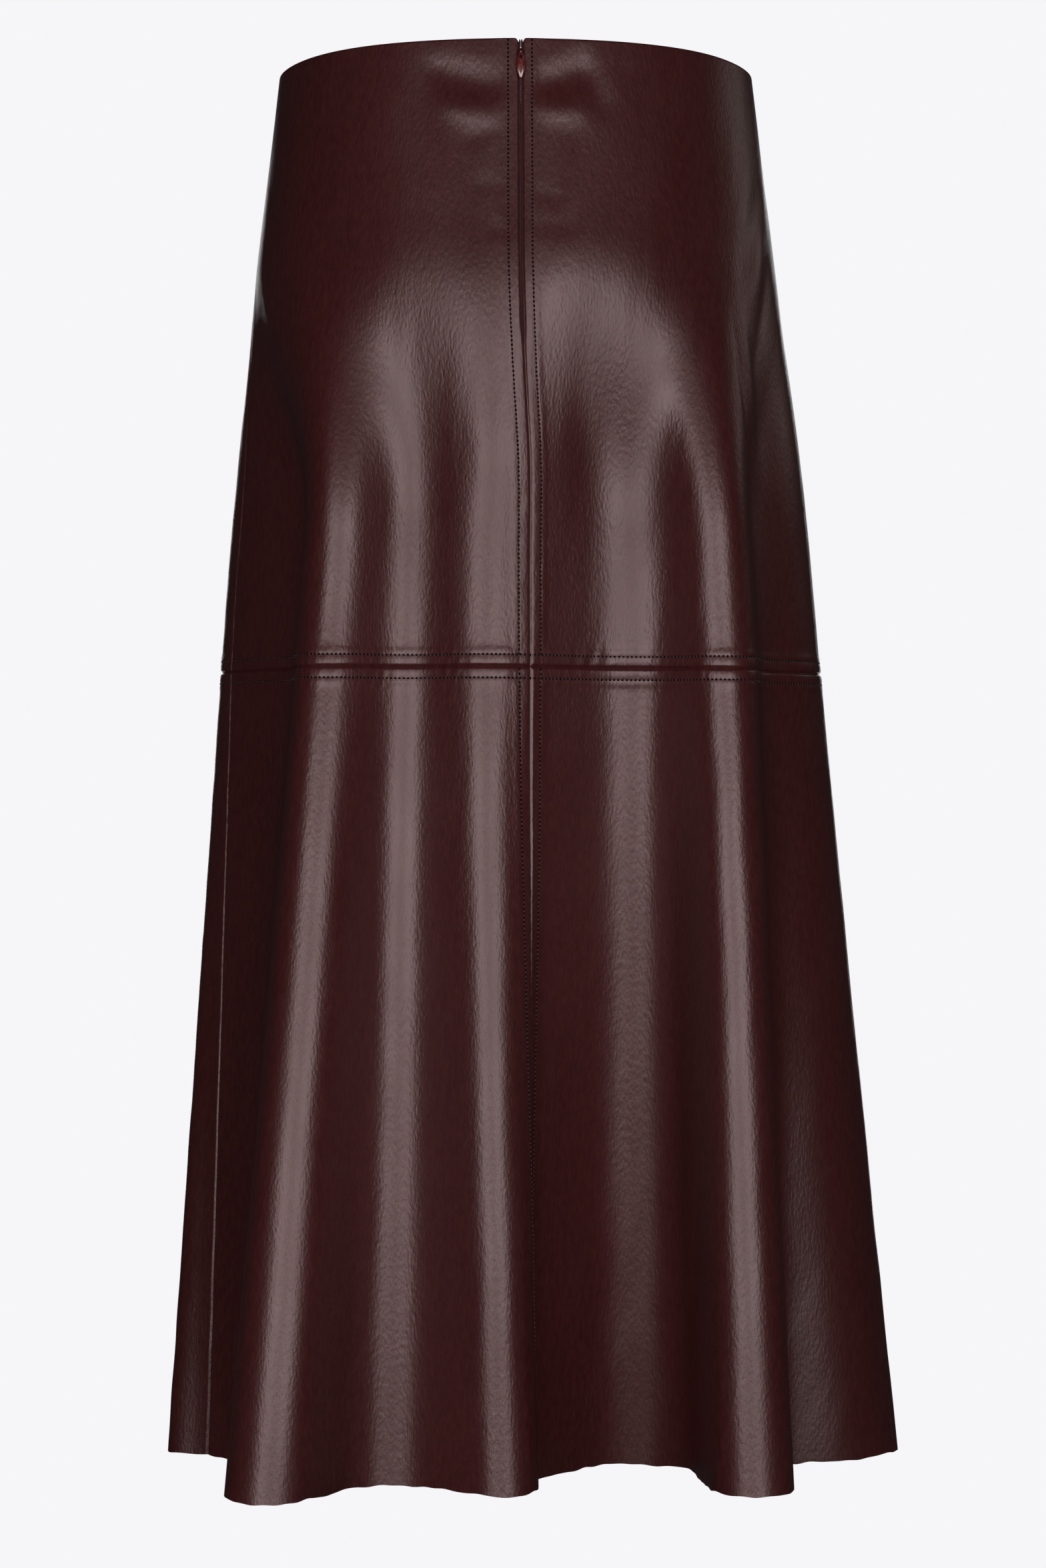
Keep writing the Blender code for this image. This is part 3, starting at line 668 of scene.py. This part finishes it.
def shell(name, outer, inner, materials):
    """Closed cloth from its outer grid and an inner grid of every second row and column."""
    rows, columns = outer.shape[:2]
    outside = np.arange(rows * columns).reshape(rows, columns)
    inside = rows * columns + np.arange(inner.shape[0] * inner.shape[1]).reshape(inner.shape[:2])
    rim, rim_inside = border(outside), border(inside)
    first, middle, last = rim[::2], rim[1::2], np.roll(rim, -2)[::2]
    next_inside = np.roll(rim_inside, -1)
    rim_faces = np.concatenate([
        stack(first, middle, rim_inside),
        stack(middle, last, next_inside),
        stack(middle, next_inside, rim_inside),
    ])
    points = np.concatenate([outer.reshape(-1, 3), inner.reshape(-1, 3)])
    faces = [grid_faces(outside), grid_faces(inside)[:, ::-1], rim_faces]
    return make_mesh(name, points, faces, materials, finishes=(0, 1, 2))


def between(near_start, near_end, length, spacing):
    """Even shares between the samples near two edges; all the samples together make an odd count."""
    count = max(2, round((length - near_start[-1] - near_end[-1]) / spacing))
    if (count + len(near_start) + len(near_end)) % 2:
        count += 1
    return np.linspace(0.0, 1.0, count + 1)[1:-1]


def build_panel(relief, name, sides, levels, spacing):
    """One panel; a side is a place and the distances sampled near it, a level the same for a drop."""
    cloth = relief.cloth
    (start, near_start), (end, near_end) = sides
    (top, near_top), (bottom, near_bottom) = levels
    across = between(near_start, near_end, end - start, spacing)
    down = between(near_top, near_bottom, float(bottom(start) - top(start)), ROW)
    head, foot = len(near_start), len(near_end)

    middle = start + near_start[-1] + across * (end - start - near_start[-1] - near_end[-1])
    nominal = np.concatenate([start + near_start, middle, end - near_end[::-1]])
    to_edge = np.concatenate([near_start, np.ones(len(across)), near_end[::-1]])
    at_zip = np.minimum(np.abs(nominal - cloth.seams[1]), 1.0) < 2.0 * SEAM_STEPS[-1]
    notch = NOTCH_DEPTH * bell(to_edge, NOTCH_WIDTH) * (at_zip & (top == cloth.waist_drop))
    ceiling, floor = top(nominal) + notch, bottom(nominal)
    high, low = ceiling[None] + near_top[:, None], floor[None] - near_bottom[::-1, None]
    drop = np.concatenate([high, high[-1:] + down[:, None] * (low[:1] - high[-1:]), low])

    place = np.empty_like(drop)
    for edge, sign, at, near, span in (
        (0, 1.0, start, near_start, slice(0, head)),
        (-1, -1.0, end, near_end[::-1], slice(-foot, None)),
    ):
        centre_back = abs(at - cloth.seams[1]) < 1e-6
        trim = slit_half(drop[:, edge]) if centre_back else np.full(len(drop), 0.5 * CLOTH_GAP)
        away = near[None] + trim[:, None]
        place[:, span] = at + sign * away / cloth.speed(at, drop[:, edge])[:, None]
    first, last = place[:, head - 1:head], place[:, -foot][:, None]
    place[:, head:-foot] = first + across[None] * (last - first)

    depth = relief.wall(place, drop)
    below_edge = drop - ceiling[None] if top == cloth.waist_drop else np.ones_like(drop)
    round_off = np.clip(1.0 - 2.0 * below_edge / depth, 0.0, 1.0)
    roll = 0.5 * depth * (1.0 - np.sqrt(1.0 - round_off ** 2))
    outer = relief.surface(place, drop, -roll)
    every_second = (slice(None, None, 2), slice(None, None, 2))
    place, drop, depth, roll = (a[every_second] for a in (place, drop, depth, roll))
    depth = np.maximum(depth - roll, roll + RIM)
    inside = relief.creases(place, drop) - depth
    inner = cloth.place(place, drop) + inside[..., None] * cloth.normals(place, drop)
    return shell(name, outer, inner, (LEATHER, BACKING, EDGE))


def skin(rings):
    """Points and faces of many closed solids through rings (count, rings, sides, 3), with flat ends."""
    numbers = np.arange(rings.size // 3).reshape(rings.shape[:3])
    turned = np.roll(numbers, -1, axis=2)
    walls = stack(numbers[:, :-1], turned[:, :-1], turned[:, 1:], numbers[:, 1:])
    caps = np.concatenate([numbers[:, 0, ::-1], numbers[:, -1]])
    return rings.reshape(-1, 3), [walls.reshape(-1, 4), caps]


def tubes(centres, sideways, radii, sides, flat=1.0):
    """Many closed beads: centres (count, rings, 3), one radius a ring."""
    along = np.gradient(centres, axis=1)
    along /= np.linalg.norm(along, axis=-1, keepdims=True)
    across = sideways - along * np.sum(sideways * along, axis=-1, keepdims=True)
    across /= np.linalg.norm(across, axis=-1, keepdims=True)
    up = np.cross(along, across)
    angles = full_turn(sides)[:, None]
    spokes = across[:, :, None] * np.cos(angles) + flat * up[:, :, None] * np.sin(angles)
    return skin(centres[:, :, None] + spokes * np.asarray(radii)[None, :, None, None])


def joined(name, parts, materials, finishes=None, sharp=50.0):
    """One object from several (points, faces) parts, each with its own finish."""
    points, faces, numbers, offset = [], [], [], 0
    for k, (part_points, part_faces) in enumerate(parts):
        points.append(part_points)
        faces += [f + offset for f in part_faces]
        numbers += [finishes[k] if finishes else 0] * len(part_faces)
        offset += len(part_points)
    return make_mesh(name, np.concatenate(points), faces, materials, numbers, sharp)


# ---- Stitches ----
def stitch_row(relief, places, drops):
    """Threads along a row that is sampled at (places, drops), and a disc of painted shade at each needle
    hole.
    """
    guide = relief.surface(places, drops)
    lengths = np.concatenate([[0.0], np.cumsum(np.linalg.norm(np.diff(guide, axis=0), axis=1))])
    count = int((lengths[-1] - 2.0 * ROW_MARGIN) / STITCH_PITCH)
    starts = ROW_MARGIN + STITCH_PITCH * np.arange(count)
    along = starts[:, None] + STITCH_LENGTH * THREAD_ALONG[None]
    place, drop = (np.interp(along, lengths, column) for column in (places, drops))
    centres = relief.surface(place, drop, THREAD_RADIUS * THREAD_LIFT[None])
    normals = relief.cloth.normals(place, drop)
    thread = tubes(centres, normals, THREAD_RADIUS * THREAD_SWELL, 6)
    hole_along = starts - 0.5 * (STITCH_PITCH - STITCH_LENGTH)
    hole_place, hole_drop = (np.interp(hole_along, lengths, column) for column in (places, drops))
    hole_normals = relief.cloth.normals(hole_place, hole_drop)[:, None]
    middle = relief.surface(hole_place, hole_drop)[:, None]
    depth = HOLE_RADIUS * HOLE_DEPTHS[None, :, None]
    # a near-black disc of painted shade sunk at each needle hole
    hole_shade_disc = tubes(middle + depth * hole_normals, DOWN, HOLE_RADIUS * HOLE_SWELL, 8)
    return thread, hole_shade_disc


def add_stitches(relief, name, rows):
    parts = [part for places, drops in rows for part in stitch_row(relief, places, drops)]
    return joined(name, parts, (THREAD, HOLE_SHADE), (0, 1) * len(rows), sharp=0.0)


def panel_rows(relief, start, end, upper):
    """Topstitch rows on a panel: along the cross seam, and along the centre back where it has one."""
    cloth = relief.cloth
    places = np.linspace(start, end, 900)
    side = -1.0 if upper else 1.0
    rows = [(places, cloth.seam_drop(places) + side * CROSS_ROW)]
    for at, sign in ((start, 1.0), (end, -1.0)):
        if abs(at - cloth.seams[1]) < 1e-6:
            if upper:
                drops = np.linspace(cloth.waist_drop(at) + 0.0008, cloth.seam_drop(at) - 0.0012, 700)
            else:
                drops = np.linspace(cloth.seam_drop(at) + 0.0012, SKIRT_LENGTH - 0.0010, 900)
            rows.append((at + sign * CENTRE_ROW / cloth.speed(at, drops), drops))
    return rows


# ---- Zip ----
def tape_half(cloth, name, side):
    """Half of the woven tape behind the panel, which stops short of the slider's neck."""
    centre = cloth.seams[1]
    drops = np.concatenate([
        np.linspace(TAPE_TOP, SLIDER_FOOT, 9), np.linspace(SLIDER_FOOT + 0.002, TAPE_LENGTH, 90),
    ])
    neck = ease((SLIDER_FOOT + NECK_LENGTH - drops) / NECK_LENGTH)
    edge = TAPE_EDGE + NECK_HALF * neck
    away = edge[:, None] + TAPE_SHARES[None] * (TAPE_WIDTH - edge)[:, None]
    if side < 0.0:
        away = away[:, ::-1]
    drop = np.repeat(drops[:, None], away.shape[1], axis=1)
    place = centre + side * away / cloth.speed(centre, drop)
    rib = TAPE_RIB * bell(np.abs(away - TAPE_RIB_AWAY), 0.0007)
    points, normals = cloth.place(place, drop), cloth.normals(place, drop)
    face = CLOTH + TAPE_STANDOFF
    outer = points - (face - rib)[..., None] * normals
    inner = points - (face + TAPE_THICKNESS + rib)[..., None] * normals
    return shell(name, outer, inner[::2, ::2], (TAPE, TAPE, TAPE))


def coil(cloth, name, side):
    """The coil that follows the tape's folded edge, and the loops that grip the other half."""
    centre = cloth.seams[1]
    parts = []
    above, below = PULL_AXIS_DROP - BRIDGE_CLEAR, PULL_AXIS_DROP + BRIDGE_CLEAR
    for high, low in ((TAPE_EDGE_TOP, above), (below, ZIP_LENGTH - 0.001)):
        drops = np.linspace(high, low, max(6, int((low - high) / 0.002)))
        away = np.minimum(BEAD_AWAY, slit_half(drops) + 0.0001)
        place = centre + side * away / cloth.speed(centre, drops)
        points = cloth.place(place, drops) - BEAD_DEPTH * cloth.normals(place, drops)
        radii = np.full(len(drops), BEAD_RADIUS)
        radii[[0, -1]] *= BEAD_TIP
        parts.append(tubes(points[None], RIGHT, radii, 10))
    first = SLIDER_FOOT + 0.001 + (0.5 * LOOP_PITCH if side > 0.0 else 0.0)
    drops = np.arange(first, ZIP_LENGTH, LOOP_PITCH)
    turn = np.linspace(0.0, math.pi, 7)
    away = LOOP_REACH * (0.35 - np.sin(turn))
    drop = drops[:, None] + LOOP_HALF * np.cos(turn)[None]
    place = centre - side * (-away)[None] / cloth.speed(centre, drop)
    depth = CLOTH + TAPE_STANDOFF + TAPE_THICKNESS + 1.3 * LOOP_RADIUS
    points = cloth.place(place, drop) - depth * cloth.normals(place, drop)
    parts.append(tubes(points, cloth.normals(place, drop), LOOP_RADIUS * np.ones(len(turn)), 6))
    return joined(name, parts, (TAPE,))


def signed_power(x, power):
    return np.sign(x) * np.abs(x) ** power


def dome(away, reach):
    """0 at an edge, rising on a quarter circle to 1 at this reach from it."""
    return np.sqrt(1.0 - (1.0 - np.clip(away / reach, 0.0, 1.0)) ** 2)


def slider(hinge, cloth_face):
    """Slider body inside the skirt, with flanges, and the arched bridge that holds the tab."""
    x, y, z = hinge
    inside = cloth_face + CLOTH + TAPE_STANDOFF + TAPE_THICKNESS + SLIDER_CLEAR
    turn = np.linspace(0.0, math.pi, 25)
    root = inside + BRIDGE_SUNK
    out = root - (root - y + BRIDGE_OUT) * np.sin(turn) ** 0.55
    arch = stack(x, out, z + BRIDGE_HALF * np.cos(turn))
    bridge = tubes(arch[None], RIGHT, np.full(len(turn), BRIDGE_RADIUS), 12, BRIDGE_FLATNESS)
    angles = full_turn(32)
    high = SLIDER_TALL * signed_power(np.cos(angles), 0.5)
    wide = SLIDER_HALF * signed_power(np.sin(angles), 0.45) * (1.0 + 0.16 * high / SLIDER_TALL)
    rings = []
    for depth, size in SLIDER_RINGS:
        rings.append(stack(x + size * wide, inside + depth, z - 0.0005 + (0.1 + 0.9 * size) * high))
    return joined("zip_slider_metal", [bridge, skin(np.array([rings]))], (LACQUER,))


def pull(hinge):
    """Domed teardrop tab with rounded edges and an eye round the bridge."""
    count, steps = 96, 18
    angles = full_turn(count)
    up = np.cos(angles)
    height = 0.5 * (PULL_TOP - PULL_LENGTH) + 0.5 * (PULL_TOP + PULL_LENGTH) * up
    share = (PULL_TOP - height) / (PULL_TOP + PULL_LENGTH)
    fullness = np.sin(math.pi * np.clip(0.02 + 0.78 * share, 0.0, 1.0)) ** 1.3
    half = 0.5 * PULL_WIDTH * (0.52 + 0.48 * fullness)
    outer = stack(half * signed_power(np.sin(angles), 0.8), height)
    squareness = np.maximum(np.abs(up), np.abs(np.sin(angles))) ** -0.7
    middle, reach = -0.5 * (CROSSBAR + PULL_EYE_LENGTH), 0.5 * (PULL_EYE_LENGTH - CROSSBAR)
    eye = stack(0.4 * PULL_EYE_WIDTH * np.sin(angles) * squareness, middle + reach * up * squareness)
    shares = 0.5 * (1.0 - np.cos(math.pi * np.linspace(0.0, 1.0, steps)))
    flat = eye[:, None] + (outer - eye)[:, None] * shares[None, :, None]
    to_rim, to_eye = (
        np.linalg.norm(flat[:, :, None] - line, axis=-1).min(axis=2) for line in (outer, eye)
    )
    lip = 0.25 + 0.75 * dome(to_eye, PULL_LIP)
    thick = PULL_RIM + PULL_DOME * dome(to_rim, PULL_ROUND) * (0.45 + 0.55 * share[:, None]) * lip
    front, back = (stack(flat[..., 0], sign * thick, flat[..., 1]) for sign in (-1.0, 1.0))
    loops = np.concatenate([front, back[:, ::-1]], axis=1) + np.array(hinge)
    numbers = np.arange(count * 2 * steps).reshape(count, 2 * steps)
    after, onward = np.roll(numbers, -1, axis=0), np.roll(numbers, -1, axis=1)
    both = np.roll(after, -1, axis=1)
    faces = stack(numbers, onward, both, after).reshape(-1, 4)
    return make_mesh("zip_pull_tab", loops, [faces], (LACQUER,), sharp=0.0)


# ---- Materials ----
class Tree:
    """A node tree, and short ways to add to it."""

    def __init__(self, tree):
        self.tree = tree

    def feed(self, node, sockets):
        """Link or set sockets of a node, by their names or numbers."""
        for key, value in sockets.items():
            if isinstance(value, bpy.types.NodeSocket):
                self.tree.links.new(value, node.inputs[key])
            else:
                node.inputs[key].default_value = value
        return node

    def add(self, kind, sockets, **values):
        node = self.tree.nodes.new(kind)
        for key, value in values.items():
            setattr(node, key, value)
        return self.feed(node, sockets)


class Surface(Tree):
    """A Principled material."""

    def __init__(self, name, colour, roughness):
        self.material = bpy.data.materials.new(name)
        self.material.use_nodes = True
        super().__init__(self.material.node_tree)
        self.shader = self.tree.nodes["Principled BSDF"]
        self.place = self.tree.nodes.new("ShaderNodeTexCoord").outputs["Object"]
        self.set(Base_Color=(*colour, 1.0), Roughness=roughness)

    def set(self, **sockets):
        """Link or set sockets of the shader, and give the material."""
        self.feed(self.shader, {key.replace("_", " "): value for key, value in sockets.items()})
        return self.material

    def scaled(self, scale):
        """Object coordinates times a scale for each axis, in cells a metre."""
        return self.add("ShaderNodeMapping", {"Vector": self.place, "Scale": scale}).outputs["Vector"]

    def noise(self, scale, detail=2.0, roughness=0.5):
        sockets = {"Vector": self.scaled(scale), "Scale": 1.0, "Detail": detail, "Roughness": roughness}
        return self.add("ShaderNodeTexNoise", sockets).outputs["Fac"]

    def cells(self, scale, feature="F1"):
        sockets = {"Vector": self.scaled(scale), "Scale": 1.0}
        return self.add("ShaderNodeTexVoronoi", sockets, feature=feature).outputs["Distance"]

    def sum(self, first, second, share):
        """One value, and a share of another added to it."""
        sockets = {0: second, 1: share, 2: first}
        return self.add("ShaderNodeMath", sockets, operation="MULTIPLY_ADD").outputs["Value"]

    def span(self, value, low, high, to_low=0.0, to_high=1.0):
        sockets = {"Value": value, "From Min": low, "From Max": high, "To Min": to_low, "To Max": to_high}
        return self.add("ShaderNodeMapRange", sockets).outputs["Result"]

    def blend(self, share, first, second):
        """Mix of two colours, each a socket or plain values."""
        first, second = ((*c, 1.0) if isinstance(c, tuple) else c for c in (first, second))
        sockets = {"Factor": share, 6: first, 7: second}
        return self.add("ShaderNodeMix", sockets, data_type="RGBA").outputs[2]

    def mottle(self, scale, detail, low, high, first, second, most=1.0):
        """Noise that runs from the first colour to the second, or to a share of it at most."""
        return self.blend(self.span(self.noise(scale, detail), low, high, 0.0, most), first, second)

    def bump(self, height, distance):
        return self.add("ShaderNodeBump", {"Height": height, "Distance": distance}).outputs["Normal"]


def leather():
    """Burgundy coated cloth: satin, with a fine pebble grain drawn out upright."""
    m = Surface("burgundy_leather", LEATHER_COLOUR, ROUGH_LOW)
    base = m.mottle((9.0, 9.0, 3.5), 3.0, 0.35, 0.65, LEATHER_DEEP, LEATHER_COLOUR)
    colour = m.mottle((420.0, 420.0, 170.0), 2.0, 0.35, 0.75, base, LEATHER_LIGHT, 0.45)
    rough = m.span(m.noise((60.0, 60.0, 16.0)), 0.3, 0.7, ROUGH_LOW, ROUGH_HIGH)
    pebbles = m.cells((760.0, 760.0, 300.0), feature="SMOOTH_F1")
    creep = m.noise((760.0, 760.0, 320.0), detail=3.0, roughness=0.6)
    grain = m.bump(m.sum(creep, pebbles, 0.6), GRAIN_HEIGHT)
    tint = (*SPECULAR_TINT, 1.0)
    return m.set(Base_Color=colour, Roughness=rough, Normal=grain, Specular_Tint=tint)


def backing():
    """Brushed knit on the back of the coating."""
    m = Surface("knit_backing", BACKING_COLOUR, 0.92)
    loops = m.cells((1400.0, 1400.0, 900.0))
    nap = m.noise((2600.0, 2600.0, 2600.0))
    colour = m.mottle((25.0, 25.0, 25.0), 3.0, 0.3, 0.7, BACKING_COLOUR, BACKING_LIGHT)
    knit = m.bump(m.sum(loops, nap, 0.6), BACKING_HEIGHT)
    return m.set(Base_Color=colour, Normal=knit, Sheen_Weight=0.25, Specular_IOR_Level=0.2)


def cut_edge():
    """Raw edge: the coating over the paler core of the cloth."""
    m = Surface("cut_edge", EDGE_COLOUR, 0.8)
    fibres = m.noise((2200.0, 2200.0, 1200.0), detail=3.0)
    colour = m.blend(m.span(fibres, 0.3, 0.7), EDGE_COLOUR, BACKING_LIGHT)
    return m.set(Base_Color=colour, Normal=m.bump(fibres, EDGE_HEIGHT))


def thread():
    """Sewing thread in the colour of the leather."""
    m = Surface("thread", THREAD_COLOUR, 0.5)
    strands = m.noise((5200.0, 5200.0, 5200.0), detail=1.0)
    colour = m.blend(m.span(strands, 0.3, 0.7), THREAD_COLOUR, LEATHER_DEEP)
    return m.set(Base_Color=colour, Normal=m.bump(strands, THREAD_HEIGHT), Sheen_Weight=0.2)


def needle_hole():
    """Painted shade in the needle hole at the end of a stitch: a near-black disc flecked with thread
    colour.
    """
    m = Surface("needle_hole", HOLE_SHADE_COLOUR, 0.9)
    colour = m.mottle((4000.0, 4000.0, 4000.0), 2.0, 0.4, 0.9, HOLE_SHADE_COLOUR, THREAD_COLOUR, 0.3)
    return m.set(Base_Color=colour, Specular_IOR_Level=0.1)


def tape():
    """Woven tape, its picks a fine herringbone."""
    m = Surface("zip_tape", TAPE_COLOUR, 0.8)
    sockets = {"Vector": m.place, "Scale": 900.0, "Distortion": 1.5}
    weave = m.add("ShaderNodeTexWave", sockets, wave_type="BANDS", bands_direction="DIAGONAL")
    colour = m.mottle((600.0, 600.0, 600.0), 2.0, 0.3, 0.7, TAPE_COLOUR, LEATHER_DEEP)
    return m.set(Base_Color=colour, Normal=m.bump(weave.outputs["Fac"], WEAVE_HEIGHT))


def lacquer():
    """Glossy burgundy lacquer over metal, a little rubbed."""
    m = Surface("lacquered_metal", LACQUER_COLOUR, 0.10)
    rub = m.noise((700.0, 700.0, 700.0), detail=3.0)
    colour = m.blend(m.span(rub, 0.45, 0.8, 0.0, 0.6), LACQUER_COLOUR, LACQUER_RUBBED)
    rough = m.span(rub, 0.3, 0.7, 0.10, 0.24)
    m.set(Coat_Weight=0.8, Coat_Roughness=0.05)
    return m.set(Base_Color=colour, Roughness=rough, Normal=m.bump(rub, RUB_HEIGHT))


LEATHER, BACKING, EDGE = leather(), backing(), cut_edge()
THREAD, HOLE_SHADE, TAPE, LACQUER = thread(), needle_hole(), tape(), lacquer()


# ---- The skirt ----
def hem_line(cut):
    def hem(places):
        return SKIRT_LENGTH + 0.0004 * cut.at(np.asarray(places), 0.0 * np.asarray(places))
    return hem


def dress():
    """Every cloth panel with its stitches."""
    cloth = Cloth()
    relief = Relief(cloth)
    left, centre, right, end = cloth.seams
    hem = hem_line(Waves(13, (0.012, 0.080), (1.0, 2.0)))
    half_gap = 0.5 * CLOTH_GAP

    def above(places):
        return cloth.seam_drop(places) - half_gap

    def below(places):
        return cloth.seam_drop(places) + half_gap

    panels = (
        ("back_{}_left", (left, SIDE_STEPS), (centre, SEAM_STEPS), BACK_COLUMN),
        ("back_{}_right", (centre, SEAM_STEPS), (right, SIDE_STEPS), BACK_COLUMN),
        ("front_{}", (right, SIDE_STEPS), (end, SIDE_STEPS), FRONT_COLUMN),
    )
    tiers = (
        ("upper", (cloth.waist_drop, WAIST_STEPS), (above, SEAM_STEPS), UPPER_LENGTH),
        ("lower", (below, SEAM_STEPS), (hem, HEM_STEPS), LOWER_LENGTH),
    )
    for pattern, start, stop, spacing in panels:
        for k, (tier, top, bottom, length) in enumerate(tiers):
            node = pattern.format(tier)
            piece = build_panel(relief, node + "_cloth", (start, stop), (top, bottom), spacing)
            rows = panel_rows(relief, start[0], stop[0], tier == "upper")
            stitches = add_stitches(relief, node + "_stitches", rows)
            for made in (piece, stitches):
                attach(made, "skirt")
            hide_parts(node)
            narrow, wide = PANEL_WIDTHS[pattern][k:k + 2]
    return cloth


def fit_zip(cloth):
    face = cloth.place(np.array([cloth.seams[1]]), np.array([PULL_AXIS_DROP]))[0]
    hinge = (face[0], face[1] - PULL_AXIS_OUT, -PULL_AXIS_DROP)
    for name, side in (("left", -1.0), ("right", 1.0)):
        half = tape_half(cloth, f"zip_tape_{name}_woven", side)
        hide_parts(f"zip_tape_{name}")
        teeth = coil(cloth, f"zip_coil_{name}", side)
        for made in (half, teeth):
            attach(made, "skirt")
    metal = slider(hinge, face[1])
    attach(metal, "skirt")
    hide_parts("zip_slider")
    tab = pull(hinge)
    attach(tab, "pull")
    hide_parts("zip_pull")


# ---- Studio ----
def studio_floor():
    """Pale floor well below the hem, its shade fading out a little way off."""
    m = Surface("studio_floor", STUDIO_COLOUR, 0.9)
    distance = m.add("ShaderNodeVectorMath", {0: m.place}, operation="LENGTH").outputs["Value"]
    far = m.span(distance, *FLOOR_SHADE)
    glow = m.add("ShaderNodeEmission", {"Color": (*STUDIO_COLOUR, 1.0)})
    mixed = {"Fac": far, 1: m.shader.outputs["BSDF"], 2: glow.outputs["Emission"]}
    mix = m.add("ShaderNodeMixShader", mixed)
    m.feed(m.tree.nodes["Material Output"], {"Surface": mix.outputs["Shader"]})
    corners = np.array([(-1, -1), (1, -1), (1, 1), (-1, 1)]) * 0.5 * FLOOR_SIZE
    points = np.column_stack([corners, np.zeros(4)])
    floor = make_mesh("studio_floor", points, [np.array([[0, 1, 2, 3]])], (m.material,), sharp=0.0)
    floor.location = (0.0, 0.0, FLOOR_LEVEL)
    floor.visible_glossy = False
    floor.visible_diffuse = False


def light_studio():
    for lamp in LAMPS:
        light = bpy.data.lights.new(lamp.name.replace(" ", "_"), "AREA")
        light.shape = "RECTANGLE"
        light.size, light.size_y = lamp.width, lamp.height
        light.energy = lamp.power
        light.color = lamp.colour
        made = add_object(light.name, light)
        bearing = math.radians(lamp.bearing)
        away = (math.sin(bearing), -math.cos(bearing))
        made.location = (lamp.distance * away[0], lamp.distance * away[1], lamp.level)
        made.rotation_euler = (math.radians(90.0 + lamp.tilt), 0.0, bearing)
        made.visible_camera = False

    world = bpy.data.worlds.new("studio")
    bpy.context.scene.world = world
    world.use_nodes = True
    sky = Tree(world.node_tree)
    seen = sky.feed(sky.tree.nodes["Background"], {"Color": (*STUDIO_COLOUR, 1.0)})
    around = sky.add("ShaderNodeBackground", {"Color": (*AMBIENT, 1.0)})
    path = sky.add("ShaderNodeLightPath", {})
    mixed = {"Fac": path.outputs["Is Camera Ray"], 1: around.outputs[0], 2: seen.outputs[0]}
    mix = sky.add("ShaderNodeMixShader", mixed)
    sky.feed(sky.tree.nodes["World Output"], {"Surface": mix.outputs["Shader"]})


def place_camera():
    camera = bpy.data.cameras.new("camera")
    camera.lens = CAMERA_LENS
    camera.sensor_width = 36.0
    made = add_object("camera", camera)
    made.location = CAMERA_PLACE
    made.rotation_euler = (math.radians(90.0), 0.0, 0.0)
    bpy.context.scene.camera = made
    bpy.context.scene.view_settings.view_transform = "Standard"


fit_zip(dress())
studio_floor()
light_studio()
place_camera()
